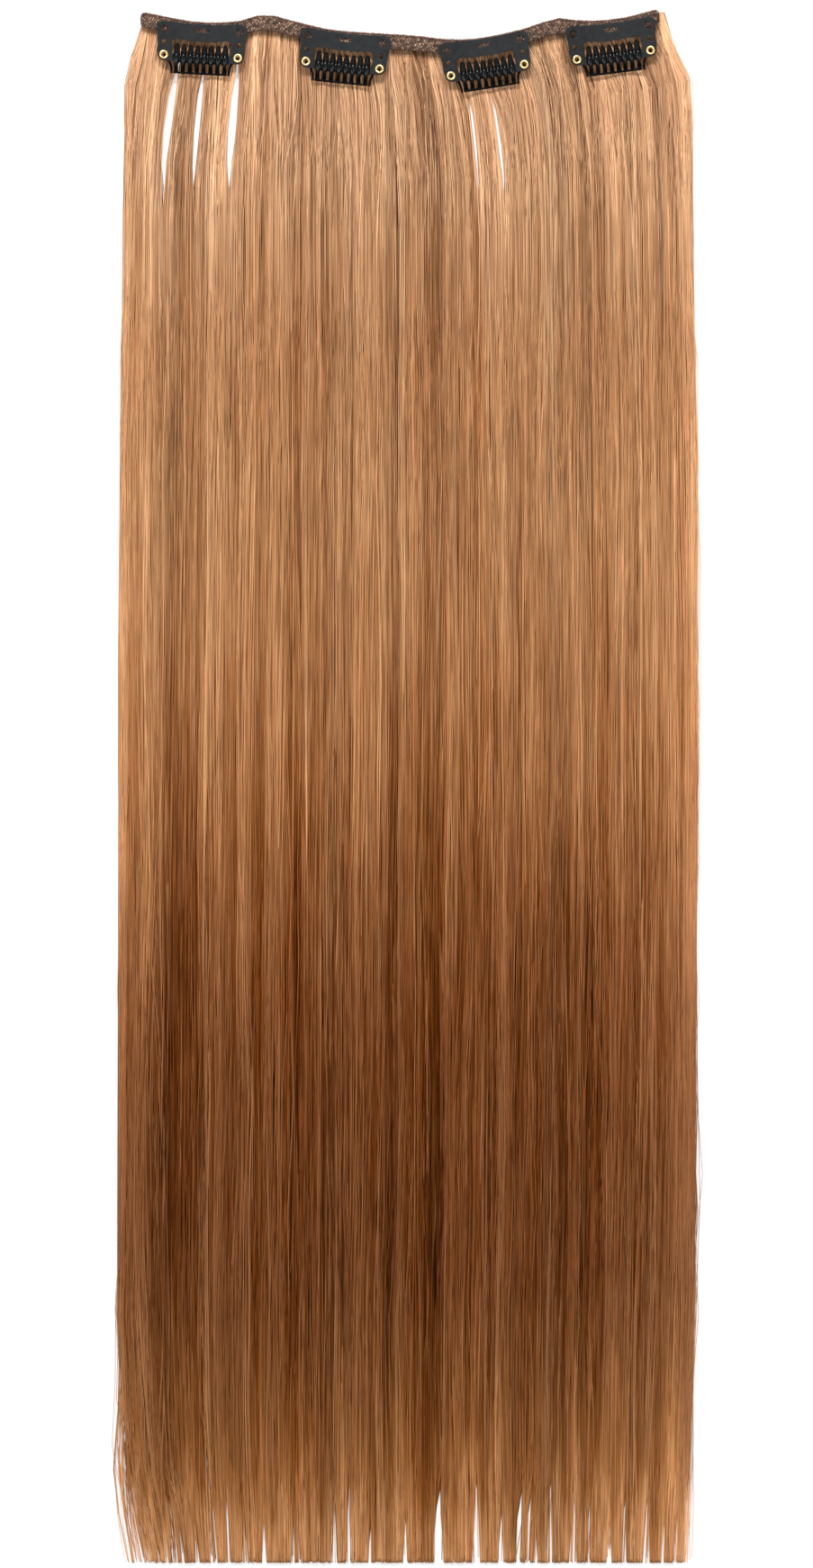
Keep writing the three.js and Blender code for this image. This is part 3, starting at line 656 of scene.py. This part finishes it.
def colour_strands(thing, paths, corners, tone, warmth):
    """Writes each point's tone, paler near the hair's outer edges, and its warmth."""
    half = HAIR_WIDTH / 2
    left = -half * np.interp(STATIONS, HAIR_EDGES["down"], HAIR_EDGES["left"])
    right = half * np.interp(STATIONS, HAIR_EDGES["down"], HAIR_EDGES["right"])
    contrast = np.interp(STATIONS, *CONTRAST)
    edge = 0
    for inside, (pale, reach) in zip(
        (paths[..., 0] - left, right - paths[..., 0]), EDGE_PALE.values()
    ):
        edge = edge + pale * np.exp(-np.maximum(inside, 0) / reach)
    shown = MIDDLE_TONE + (tone[:, None] - MIDDLE_TONE) * contrast
    shown = shown + edge * np.interp(STATIONS, *EDGE_RUN)
    layers = {"tone": shown, "warmth": warmth[:, None] + 0 * edge}
    for name, values in layers.items():
        layer = thing.data.attributes.new(name, "FLOAT", "POINT")
        layer.data.foreach_set("value", np.repeat(values.ravel(), corners).astype(np.float32))


def strand_piece(name, across, depth, radius, shortfall, loose, tone, warmth, wander, rng):
    """Strands as closed three-sided tubes that taper to their tips."""
    paths = strand_paths(across, depth, radius, radius, shortfall, loose, wander, rng)
    taper = 1 - 0.15 * smoothstep(STATIONS, 0.95, 1) - 0.25 * smoothstep(-STATIONS, -0.02, 0)
    size = radius[:, None] * taper[None, :]
    turn = rng.uniform(0, 2 * np.pi, len(across))[:, None]
    zero = np.zeros_like(size)
    side = np.stack([np.cos(turn) + zero, zero, np.sin(turn) + zero], -1)
    up = np.stack([-np.sin(turn) + zero, zero, np.cos(turn) + zero], -1)
    points, faces = skin(ring_round(paths, side, up, size, size, STRAND_SIDES))
    thing = put_mesh(name, points, faces, materials["hair"])
    colour_strands(thing, paths, STRAND_SIDES, tone, warmth)
    return dress(thing, "weft", "hair", "hair")


def make_hair():
    rng = np.random.default_rng(SEED)
    for bundle in range(BUNDLES):
        across = (bundle + (np.arange(STRANDS) + rng.uniform(0, 1, STRANDS)) / STRANDS) / BUNDLES
        tress = tress_of(across)
        depth = rng.uniform(0, 1, STRANDS)
        radius = rng.uniform(*STRAND_RADIUS, STRANDS)
        is_loose = rng.uniform(0, 1, STRANDS) < LOOSE_SHARE
        loose = np.where(is_loose, rng.uniform(0.2, 1, STRANDS), 0.0)
        ragged = np.abs(rng.normal(0, 0.5, STRANDS))
        shortfall = ragged + SHORTEST * rng.uniform(0, 1, STRANDS) ** SHORT_POWER
        tone = MIDDLE_TONE + TRESS["tone"][tress] + rng.normal(0, TONE_SPREAD, STRANDS)
        tone[rng.uniform(0, 1, STRANDS) < PALE_SHARE] += PALE_MORE
        warmth = 0.5 + TRESS["warmth"][tress] + rng.normal(0, WARMTH_SPREAD, STRANDS)
        strand_piece(
            f"hair_bundle_{bundle + 1}", across, depth, radius, shortfall, loose,
            np.clip(tone, 0, 1.1), np.clip(warmth, 0, 1), 1.0, rng,
        )


def make_under_hair():
    """Flat ribbons of close hair near the table, under the strands."""
    rng = np.random.default_rng(SEED + 3)
    across = (np.arange(RIBBONS) + rng.uniform(0.2, 0.8, RIBBONS)) / RIBBONS
    none = np.zeros(RIBBONS)
    radius = np.full(RIBBONS, RIBBON_PLACED)
    wide = rng.uniform(0.75, 1.0, RIBBONS)
    paths = strand_paths(across, rng.uniform(0.05, 0.3, RIBBONS), radius, wide,
                         rng.uniform(0, 1.5, RIBBONS), none, 0.0, rng)
    narrow = 1 - 0.35 * smoothstep(STATIONS, 0.93, 1)
    size = wide[:, None] * narrow[None, :]
    side = np.broadcast_to(X_AXIS, paths.shape)
    up = np.broadcast_to(Z_AXIS, paths.shape)
    high = np.full_like(size, RIBBON_BUILT)
    points, faces = skin(ring_round(paths, side, up, size, high, RIBBON_SIDES))
    thing = put_mesh("under_hair", points, faces, materials["hair"])
    tone, warmth = rng.uniform(0.3, 0.5, RIBBONS), rng.uniform(0.3, 0.7, RIBBONS)
    colour_strands(thing, paths, RIBBON_SIDES, tone, warmth)
    dress(thing, "weft", "hair", "hair")


def make_strays():
    """Loose single hairs, thinner than the rest: along the edges, over the top, and in the
    gaps between the tips."""
    rng = np.random.default_rng(SEED + 1)
    edge = np.where(rng.uniform(0, 1, STRAYS) < 0.5, 0.002, 0.986) + rng.uniform(0, 0.012, STRAYS)
    gaps = TIP_GAPS["at"] + LOCK_LINES["head"][1:-1]
    in_gap = rng.choice(gaps, STRAYS) + rng.normal(0, 0.003, STRAYS)
    kinds = [edge, rng.uniform(0.01, 0.99, STRAYS), in_gap, in_gap]
    across = np.choose(rng.integers(0, len(kinds), STRAYS), kinds)
    strand_piece(
        "stray_hairs", across, np.full(STRAYS, 1.0), rng.uniform(0.06, 0.11, STRAYS),
        60 * rng.uniform(0, 1, STRAYS) ** 3, rng.uniform(0.5, 1.1, STRAYS),
        rng.uniform(0.5, 1.1, STRAYS), rng.uniform(0.3, 0.8, STRAYS), 2.0, rng,
    )


# The lace band. Rows of knitted thread run round it, from its lower edge over the top edge
# and back underneath; each row zigzags into the next, so the net has open cells.
LACE_ROWS = 17
LACE_STITCH = 1.05
LACE_SWING = 0.3
LACE_THREAD = 0.14
GROUND_INSET = 0.2
LACE_CORNER = 2.4


def band_edges(x):
    """The band's upper and lower edge, drawn in round its corners at both ends."""
    upper, lower = band.at(x, "upper"), band.at(x, "lower")
    inside = np.clip(np.minimum(x - band.x[0], band.x[-1] - x) / LACE_CORNER, 0, 1)
    drawn = LACE_CORNER * (1 - np.sqrt(1 - (1 - inside) ** 2))
    return upper - 0.75 * drawn, lower + 0.35 * drawn


def band_point(x, around):
    """A place on the band's skin: around runs from 0 at the lower edge of its top face,
    over the upper edge at the middle, to 1 at the lower edge underneath."""
    upper, lower = band_edges(x)
    high, low = band.at(x, "high"), band.at(x, "low")
    angle = np.pi * smoothstep(around, 0.42, 0.58)
    rise = np.where(around < 0.5, around, 1 - around) / 0.42
    inset = (high - low) / 2
    y = lower + (upper - inset - lower) * np.clip(rise, 0, 1) + inset * np.sin(angle)
    z = (high + low) / 2 + inset * np.cos(angle)
    return np.stack([x + 0 * y, y, z], -1)


def make_lace():
    rng = np.random.default_rng(SEED + 2)
    left, right = band.x[0], band.x[-1]
    steps = int((right - left) / (LACE_STITCH / 4))
    x = np.linspace(left, right, steps)[None, :]
    row = (np.arange(LACE_ROWS)[:, None] + 0.5) / LACE_ROWS
    turn = np.where(np.arange(LACE_ROWS) % 2, 1.0, -1.0)[:, None]
    slip = np.cumsum(rng.normal(0, 0.14, (LACE_ROWS, steps)), axis=1)
    swing = turn * LACE_SWING * np.sin(2 * np.pi * x / LACE_STITCH + slip)
    length = 2 * (band.upper[0] - band.lower[0])
    around = np.clip(row + swing / length, 0, 1)
    centres = band_point(np.broadcast_to(x, around.shape), around)
    centres += rng.normal(0, 0.07, centres.shape)
    along = unit(np.gradient(centres, axis=1))
    up = np.broadcast_to(Z_AXIS, centres.shape)
    side = unit(np.cross(up, along))
    size = np.full(around.shape, LACE_THREAD)
    rings = ring_round(centres, side, np.cross(along, side), size, size, 3)
    points, faces = skin(rings)
    lace = put_mesh("lace_net", points, faces, materials["lace"])
    dress(lace, "weft", "lace", "lace_band")


def make_ground():
    """The folded ends of the hair inside the lace: a soft flat strip with an uneven edge."""
    x = np.arange(band.x[0] + 0.4, band.x[-1] - 0.4, 0.6)
    upper, lower = band_edges(x)
    uneven = 0.3 * np.sin(x * 0.9) * np.sin(x * 0.23 + 1) + 0.15 * np.sin(x * 3.1)
    upper = upper - GROUND_INSET - uneven
    lower = lower + 0.3
    centre = np.stack([x, (upper + lower) / 2, (band.at(x, "high") + band.at(x, "low")) / 2], -1)
    side = np.broadcast_to(Y_AXIS, centre.shape)
    up = np.broadcast_to(Z_AXIS, centre.shape)
    rings = ring_round(centre[None], side[None], up[None], (upper - lower)[None] / 2,
                       np.full((1, len(x)), 0.42), 12, 0.5)
    points, faces = skin(rings)
    dress(put_mesh("folded_ends", points, faces, materials["ground"]), "weft", "lace")


def make_seam():
    """The seam of rust-brown hair that shows as a line along the band's upper edge."""
    x = np.arange(band.x[0] + 0.5, band.x[-1] - 0.5, 0.7)
    upper = band_edges(x)[0]
    centre = np.stack([x, upper - 0.3 + 0.06 * np.sin(x * 2.3), band.at(x, "high") - 0.4], -1)
    side = np.broadcast_to(Y_AXIS, centre.shape)
    up = np.broadcast_to(Z_AXIS, centre.shape)
    size = np.full((1, len(x)), 0.26)
    points, faces = skin(ring_round(centre[None], side[None], up[None], size, size, 8))
    dress(put_mesh("seam_hair", points, faces, materials["seam"]), "weft", "lace")


class Clip:
    """One clip's own frame, read from the hinge of its comb."""

    def __init__(self, number):
        self.number = number
        hinge = next(j for j in frame["joints"] if j["name"] == f"comb_opens_{number}")
        along = np.array(hinge["axis"], float)
        self.along = along / np.linalg.norm(along)
        self.up = Z_AXIS
        self.across = np.cross(self.up, self.along)
        hinge_place = np.array(hinge["pos_m"], float) / MM
        self.origin = hinge_place - self.across * RAIL_Y
        self.origin[2] = PLATE_LOW

    def place(self, points):
        """Points from the clip's frame to the part's."""
        x, y, z = np.moveaxis(np.asarray(points, float), -1, 0)
        return (
            self.origin
            + x[..., None] * self.along
            + y[..., None] * self.across
            + z[..., None] * self.up
        )


def smooth_run(points, count):
    """Catmull-Rom curve through the points, which are evenly spaced in its parameter."""
    points = np.asarray(points, float)
    padded = np.vstack([2 * points[0] - points[1], points, 2 * points[-1] - points[-2]])
    t = np.linspace(0, len(points) - 1, count)
    k = np.minimum(t.astype(int), len(points) - 2)
    f = (t - k)[:, None]
    a, b, c, d = (padded[k + n] for n in range(4))
    return 0.5 * (2 * b + (c - a) * f + (2 * a - 5 * b + 4 * c - d) * f**2
                  + (3 * b - a - 3 * c + d) * f**3)


def arc_points(x, y, radius, start, end, count):
    angle = np.radians(np.linspace(start, end, count))
    return np.stack([x + radius * np.cos(angle), y + radius * np.sin(angle)], -1)


def plate_outline():
    """The plate's outline: round corners, a dished top, a slight waist and a narrower foot."""
    foot, c = PLATE_HALF - 0.8, 2.6
    top_x = np.linspace(PLATE_HALF - c, c - PLATE_HALF, 25)
    top = np.stack([top_x, PLATE_TOP - 0.5 * (1 - (top_x / (PLATE_HALF - c)) ** 2)], -1)
    side_y = np.linspace(PLATE_BOTTOM + c, PLATE_TOP - c, 9)
    side_x = foot + 0.8 * (side_y - PLATE_BOTTOM) / (PLATE_TOP - PLATE_BOTTOM)
    side_x -= 0.25 * np.sin(np.pi * np.linspace(0, 1, 9)) ** 2
    right = np.stack([side_x, side_y], -1)
    return np.vstack([
        arc_points(foot - c, PLATE_BOTTOM + c, c, -90, 0, 9),
        right[1:-1],
        arc_points(PLATE_HALF - c, PLATE_TOP - c, c, 0, 90, 9),
        top[1:-1],
        arc_points(c - PLATE_HALF, PLATE_TOP - c, c, 90, 180, 9),
        (right * [-1, 1])[::-1][1:-1],
        arc_points(c - foot, PLATE_BOTTOM + c, c, 180, 270, 9),
    ])


def window_outline():
    """The window: round lower corners, and an arched scallop over each tooth."""
    c = 0.8
    reach = TOOTH_PITCH / 2 - 0.12
    parts = [arc_points(WINDOW_HALF - c, WINDOW_BOTTOM + c, c, -90, 0, 6)]
    for x in TOOTH_X[::-1]:
        edge = WINDOW_TOP - 0.7 * (1 - (x / WINDOW_HALF) ** 2)
        angle = np.linspace(0, np.pi, 9)
        parts.append(np.stack([x + reach * np.cos(angle), edge + 0.5 * np.sin(angle)], -1))
    corner = arc_points(c - WINDOW_HALF, WINDOW_BOTTOM + c, c, 180, 270, 6)
    edge = WINDOW_TOP - 0.5
    shoulder = np.array([[WINDOW_HALF, edge]])
    return np.vstack([parts[0], shoulder, *parts[1:], shoulder * [-1, 1], corner])


def pointed_hole(x, y, radius, draw, lean):
    """A round hole drawn out to four soft points, by that share of its radius."""
    angle = np.linspace(0, 2 * np.pi, 28, endpoint=False)
    r = radius * (1 + draw * np.cos(4 * angle - lean))
    return np.stack([x + r * np.cos(angle), y + r * np.sin(angle)], -1)


def lens_slot():
    """The sewing slot: two arcs that meet in blunt points."""
    x = np.linspace(-2.6, 2.6, 15)
    y = 0.72 * np.sqrt(np.clip(1 - (x / 2.75) ** 2, 0, 1))
    return np.vstack([np.stack([x, -y], -1), np.stack([x, y], -1)[::-1]])


def flat_sheet(outlines, thick, edge):
    """A flat pressed sheet with those outlines, the later ones as holes in the first, with
    edges rounded by edge. It lies on z = 0, in millimetres, as a curve turned to a mesh."""
    curve = bpy.data.curves.new("sheet", "CURVE")
    curve.dimensions = "2D"
    curve.fill_mode = "BOTH"
    curve.extrude = thick / 2 - edge
    curve.bevel_depth = edge
    curve.bevel_resolution = 2
    curve.offset = -edge
    for outline in outlines:
        spline = curve.splines.new("POLY")
        spline.points.add(len(outline) - 1)
        flat = np.hstack([outline, np.zeros((len(outline), 1)), np.ones((len(outline), 1))])
        spline.points.foreach_set("co", flat.ravel())
        spline.use_cyclic_u = True
    holder = bpy.data.objects.new("sheet", curve)
    bpy.context.scene.collection.objects.link(holder)
    bpy.context.view_layer.update()
    evaluated = holder.evaluated_get(bpy.context.evaluated_depsgraph_get())
    mesh = bpy.data.meshes.new_from_object(evaluated)
    bpy.data.objects.remove(holder)
    bpy.data.curves.remove(curve)
    return mesh


# Round holes near each end of the plate, drawn out by their sewing. Each has its y, its radius,
# by what share it is drawn out, and how far its points are turned, in radians.
DRAWN_HOLES = ((0, 1.35, 0.06, 1.4), (-4.7, 0.85, 0.05, 0.6))
EYELET_HOLE = 1.2
PLATE_EDGE = 0.1
SHARP_ANGLE = 20


def make_plate(clip):
    """The pressed plate: a flat sheet with its holes, cut across at even steps, and bent to
    the plate's arc."""
    holes = [window_outline(), lens_slot()]
    for side in (-1, 1):
        for y, radius, draw, lean in DRAWN_HOLES:
            holes.append(pointed_hole(side * HOLE_X, y, radius, draw, side * lean))
        holes.append(arc_points(side * HOLE_X, EYELET_Y, EYELET_HOLE, 0, 345, 24))
    mesh = flat_sheet([plate_outline(), *holes], PLATE_THICK, PLATE_EDGE)
    build = bmesh.new()
    build.from_mesh(mesh)
    bmesh.ops.remove_doubles(build, verts=build.verts, dist=1e-4)
    for x in np.arange(-PLATE_HALF + BEND_STEP, PLATE_HALF, BEND_STEP):
        geometry = build.verts[:] + build.edges[:] + build.faces[:]
        bmesh.ops.bisect_plane(
            build, geom=geometry, dist=1e-5, plane_co=(float(x), 0, 0), plane_no=(1, 0, 0)
        )
    bmesh.ops.triangulate(build, faces=build.faces[:])
    bmesh.ops.recalc_face_normals(build, faces=build.faces[:])
    build.to_mesh(mesh)
    build.free()
    points = np.empty(len(mesh.vertices) * 3, np.float32)
    mesh.vertices.foreach_get("co", points)
    points = points.reshape(-1, 3).astype(float)
    points[:, 2] += PLATE_THICK / 2 + bow(points[:, 0])
    mesh.vertices.foreach_set("co", (clip.place(points) * MM).astype(np.float32).ravel())
    mesh.shade_smooth()
    mesh.set_sharp_from_angle(angle=math.radians(SHARP_ANGLE))
    mesh.materials.clear()
    mesh.materials.append(materials["plate"])
    mesh.update()
    plate = bpy.data.objects.new(f"pressed_plate_{clip.number}", mesh)
    bpy.context.scene.collection.objects.link(plate)
    dress(plate, "weft", "plate", f"clip_plate_{clip.number}")


# A tooth's run up the clip. y: place, z: height, wide: half width, all in millimetres; the
# last stretch is drawn out to the window's edge, less a clearance.
TOOTH_RUN = [
    (-15.4, -0.5, 1.0),
    (-14.8, -0.47, 0.85),
    (-14.2, -0.15, 0.75),
    (-13.4, 0.6, 0.7),
    (-12.4, RUNG_Z, 0.7),
    (-10.2, RUNG_Z, 0.8),
    (-8.4, RUNG_Z, 1.17),
    (-7.4, 0.8, 1.1),
    (-6.5, 0.45, 0.98),
    (-5.7, 0.2, 0.82),
    (-5.0, 0.08, 0.62),
    (-4.6, 0.04, 0.35),
]


TOOTH_STEPS = 36
RAIL_STEPS = 60
RAIL_WIDE = 0.38
RAIL_HIGH = 0.2


def make_comb(clip):
    """The comb: eight teeth as rounded bars carried along their run, and the rail that
    joins their feet."""
    run = smooth_run(TOOTH_RUN, TOOTH_STEPS)
    x = TOOTH_X[:, None]
    dish = 0.7 * (1 - (x / WINDOW_HALF) ** 2)
    y = run[None, :, 0] - dish * smoothstep(run[None, :, 0], -8, -5)
    z = run[None, :, 1] + bow(x)
    centres = np.stack([x + 0 * y, y, z], -1)
    along = unit(np.gradient(centres, axis=1))
    side = np.broadcast_to(-X_AXIS, centres.shape)
    wide = np.broadcast_to(run[None, :, 2], y.shape)
    high = np.minimum(0.25, wide * 0.7)
    rings = ring_round(centres, side, np.cross(along, side), wide, high, 10, 0.7)
    teeth = skin(clip.place(rings))

    x = np.linspace(-RAIL_HALF, RAIL_HALF, RAIL_STEPS)
    centres = np.stack([x, np.full(RAIL_STEPS, RAIL_Y), ARM_Z + bow(x)], -1)[None]
    side = np.broadcast_to(Y_AXIS, centres.shape)
    up = np.broadcast_to(Z_AXIS, centres.shape)
    wide, high = (np.full((1, RAIL_STEPS), half) for half in (RAIL_WIDE, RAIL_HIGH))
    rail = skin(clip.place(ring_round(centres, side, up, wide, high, 12, 0.6)))
    points = np.vstack([teeth[0], rail[0]])
    faces = teeth[1] + [face + len(teeth[0]) for face in rail[1]]
    comb = put_mesh(f"comb_teeth_{clip.number}", points, faces, materials["comb"])
    dress(comb, f"comb_{clip.number}", "comb", f"clip_comb_{clip.number}")


# Silicone grip: its bar's upper and lower edge and how far the spindles reach past them, its
# underside and its rim, and how high the bar and the spindles rise over that.
GRIP_TOP = -8.7
GRIP_BOTTOM = -11.6
REACH_UP = 0.9
REACH_DOWN = 1.5
GRIP_UNDER = 0.8
GRIP_RIM = 0.82
BAR_RISE = 0.25
SPINDLE_RISE = 1.05
GRIP_STEPS = 12


def make_grip(clip):
    """The silicone grip. A bar with a spindle over each rung: across, the spindle is a
    parabola whose width and height follow a sine from its upper to its lower end, and its
    lower end is drawn out past the bar in a point."""
    half = TEETH * TOOTH_PITCH / 2
    x = np.linspace(-half, half, TEETH * GRIP_STEPS + 1)
    phase = (x + half) / TOOTH_PITCH % 1.0
    phase[-1] = 0.0
    off = np.abs(2 * phase - 1)[:, None]
    v = np.linspace(0, 1, 21)[None, :]
    point = (1 - off) ** 1.2
    top = GRIP_TOP + REACH_UP * point
    bottom = GRIP_BOTTOM - REACH_DOWN * point
    swell = np.sin(np.pi * v) ** 0.5
    wide = 0.5 + 0.48 * swell
    spindle = np.clip(1 - (off / wide) ** 2, 0, 1) ** 0.8
    rim = (1 - np.abs(2 * v - 1) ** 3) ** 0.6
    end = 1 - 0.7 * smoothstep(np.abs(x), half - 0.35, half)[:, None]
    y_top = bottom + (top - bottom) * v
    z_top = GRIP_RIM + end * rim * (BAR_RISE + SPINDLE_RISE * spindle)
    y_under = y_top[:, ::-1][:, 1:-1]
    z_under = np.full_like(y_under, GRIP_UNDER)
    y = np.hstack([y_top, y_under])
    z = np.hstack([z_top, z_under]) + bow(x)[:, None]
    rings = np.stack([np.broadcast_to(x[:, None], y.shape), y, z], -1)[None]
    points, faces = skin(clip.place(rings[:, :, ::-1]))
    grip = put_mesh(f"silicone_grip_{clip.number}", points, faces, materials["grip"])
    dress(grip, f"comb_{clip.number}", "grip", f"comb_grip_{clip.number}")


ARM_STEPS = 30
WASHER = [(1.25, -0.68), (1.8, -0.68), (1.9, -0.5), (1.8, -0.32), (1.25, -0.32)]


def make_arms(clip):
    """The arms: a flat strip in a curve from a washer under the eyelet in and down to beside
    the rail's end, bowed like the plate over it."""
    t = np.linspace(0, 1, ARM_STEPS)[:, None]
    beside = RAIL_HALF + 0.3 + ARM_WIDTH / 2
    start = np.array([HOLE_X, EYELET_Y])
    corner = np.array([beside, EYELET_Y - 1.9])
    end = np.array([beside, RAIL_Y - 0.38])
    flat = (1 - t) ** 2 * start + 2 * t * (1 - t) * corner + t**2 * end
    for side, word in ((-1, "left"), (1, "right")):
        x = side * flat[:, 0]
        centres = np.stack([x, flat[:, 1], ARM_Z + bow(x)], -1)
        along = unit(np.gradient(centres, axis=0))
        beside = unit(np.cross(Z_AXIS, along))
        strip = ring_round(centres[None], beside[None], np.cross(along, beside)[None],
                           np.full((1, ARM_STEPS), 0.42), np.full((1, ARM_STEPS), 0.19), 12, 0.6)
        points, faces = skin(clip.place(strip))
        washer = clip.place(eyelet_rings(side, WASHER))
        more, more_faces = skin(washer, looped=True)
        faces += [face + len(points) for face in more_faces]
        arm = put_mesh(f"spring_arm_{word}_{clip.number}", np.vstack([points, more]), faces,
                       materials["comb"])
        dress(arm, "weft", "comb", f"comb_arm_{word}_{clip.number}")


def eyelet_rings(side, profile):
    """A profile of radius and height turned about the eyelet's axis, square to the bow."""
    angle = np.linspace(0, 2 * np.pi, 40, endpoint=False)
    radius, height = np.array(profile, float).T
    tilt = -side * math.asin(HOLE_X / BOW_RADIUS)
    x = np.multiply.outer(np.cos(angle), radius)
    y = np.multiply.outer(np.sin(angle), radius)
    z = np.broadcast_to(height, x.shape)
    turned_x = x * math.cos(tilt) + z * math.sin(tilt)
    turned_z = z * math.cos(tilt) - x * math.sin(tilt)
    rings = np.stack([side * HOLE_X + turned_x, EYELET_Y + y, bow(HOLE_X) + turned_z], -1)
    return rings[None]


def make_eyelets(clip):
    """The eyelets: a tube rolled over at the top into a round lip, and spread below."""
    roll = np.radians(np.linspace(180, -40, 12))
    lip = np.stack([1.22 + 0.4 * np.cos(roll), 0.74 + 0.34 * np.sin(roll)], -1)
    profile = [(0.8, -1.25), (0.8, -0.2), *lip, (1.05, 0.52), (1.0, -0.95), (1.55, -1.05),
               (1.55, -1.25)]
    for side, word in ((-1, "left"), (1, "right")):
        points, faces = skin(clip.place(eyelet_rings(side, profile[::-1])), looped=True)
        eyelet = put_mesh(f"rolled_eyelet_{word}_{clip.number}", points, faces, materials["brass"])
        dress(eyelet, "weft", "brass", f"eyelet_{word}_{clip.number}")


# Stitches over a corner hole. Each has its place beside the hole's middle and its lean.
STITCHES = ((-0.6, 0.35), (0.05, -0.2), (0.6, 0.15))
THREAD_RADIUS = 0.12


def make_stitches(clip):
    """Sewing thread: stitches that cross each corner hole and go down beside it."""
    loops = []
    for side in (-1, 1):
        for place, lean in STITCHES:
            x = side * HOLE_X + place
            run = [(x - lean, -1.9, -0.3), (x - 0.6 * lean, -0.8, 0.0), (x + 0.6 * lean, 0.8, 0.02),
                   (x + lean, 1.9, -0.3)]
            path = smooth_run(run, 16)
            path[:, 2] += bow(path[:, 0])
            loops.append(path)
    paths = np.array(loops)
    along = unit(np.gradient(paths, axis=1))
    beside = np.broadcast_to(X_AXIS, paths.shape)
    up = unit(np.cross(along, beside))
    size = np.full(paths.shape[:2], THREAD_RADIUS)
    rings = ring_round(paths, np.cross(up, along), up, size, size, 8)
    points, faces = skin(clip.place(rings[:, :, ::-1]))
    thread = put_mesh(f"sewing_thread_{clip.number}", points, faces, materials["thread"])
    dress(thread, "weft", "lace")


def make_clips():
    for number in range(1, 5):
        clip = Clip(number)
        make_plate(clip)
        make_comb(clip)
        make_grip(clip)
        make_arms(clip)
        make_eyelets(clip)
        make_stitches(clip)


# The studio, in metres and watts. The floor lies a hair's breadth under the part.
FLOOR_HALF = 8.0
FLOOR_LOW = -0.0002
WORLD_LIGHT = 0.22
SOFTBOXES = (
    ("softbox_key", (0.8, 0.25), 25, (-0.15, 1.3, 1.2), (0, 0.1, 0)),
    ("softbox_front", (0.8, 0.3), 7, (0.1, -0.3, 1.7), (0, 0.1, 0)),
    ("softbox_left", (0.6, 1.4), 7.5, (-1.3, 0.0, 1.1), (0, 0, 0)),
    ("softbox_right", (0.6, 1.4), 5.5, (1.3, 0.0, 1.1), (0, 0, 0)),
)


def make_floor():
    turns = ((-1, -1), (1, -1), (1, 1), (-1, 1))
    corners = [(x * FLOOR_HALF, y * FLOOR_HALF, FLOOR_LOW) for x, y in turns]
    mesh = bpy.data.meshes.new("studio_floor")
    mesh.from_pydata(corners, [], [(0, 1, 2, 3)])
    mesh.materials.append(materials["floor"])
    floor = bpy.data.objects.new("studio_floor", mesh)
    bpy.context.scene.collection.objects.link(floor)


def make_light(name, size, power, place, aim):
    lamp = bpy.data.lights.new(name, "AREA")
    lamp.shape = "RECTANGLE"
    lamp.size, lamp.size_y = size
    lamp.energy = power
    holder = bpy.data.objects.new(name, lamp)
    holder.location = place
    holder.rotation_euler = (Vector(aim) - Vector(place)).to_track_quat("-Z", "Y").to_euler()
    bpy.context.scene.collection.objects.link(holder)


def make_studio():
    scene = bpy.context.scene
    scene.view_settings.view_transform = "Standard"
    world = bpy.data.worlds.new("studio")
    world.use_nodes = True
    background = world.node_tree.nodes["Background"]
    background.inputs["Color"].default_value = (1, 1, 1, 1)
    background.inputs["Strength"].default_value = WORLD_LIGHT
    scene.world = world
    for softbox in SOFTBOXES:
        make_light(*softbox)


def make_camera():
    """Straight above. The picture's edges are the photograph's at the height of the clips."""
    camera = bpy.data.cameras.new("camera")
    camera.lens = LENS
    camera.sensor_width = SENSOR
    camera.sensor_fit = "AUTO"
    holder = bpy.data.objects.new("camera", camera)
    high = PHOTO_HIGH * PIXEL * MM
    x = (PHOTO_WIDE / 2 - ORIGIN_PIXEL[0]) * PIXEL * MM
    y = (ORIGIN_PIXEL[1] - PHOTO_HIGH / 2) * PIXEL * MM
    holder.location = (x, y, CLIP_HEIGHT * MM + high * LENS / SENSOR)
    bpy.context.scene.collection.objects.link(holder)
    bpy.context.scene.camera = holder


materials = {
    "hair": hair_material(),
    "lace": lace_material(),
    "ground": ground_material(),
    "seam": seam_material(),
    "plate": enamel_material(),
    "comb": spring_material(),
    "grip": silicone_material(),
    "brass": brass_material(),
    "thread": thread_material(),
    "floor": floor_material(),
}
TRESS = make_tresses()
make_camera()
make_studio()
make_floor()
make_hair()
make_under_hair()
make_strays()
make_lace()
make_ground()
make_seam()
make_clips()
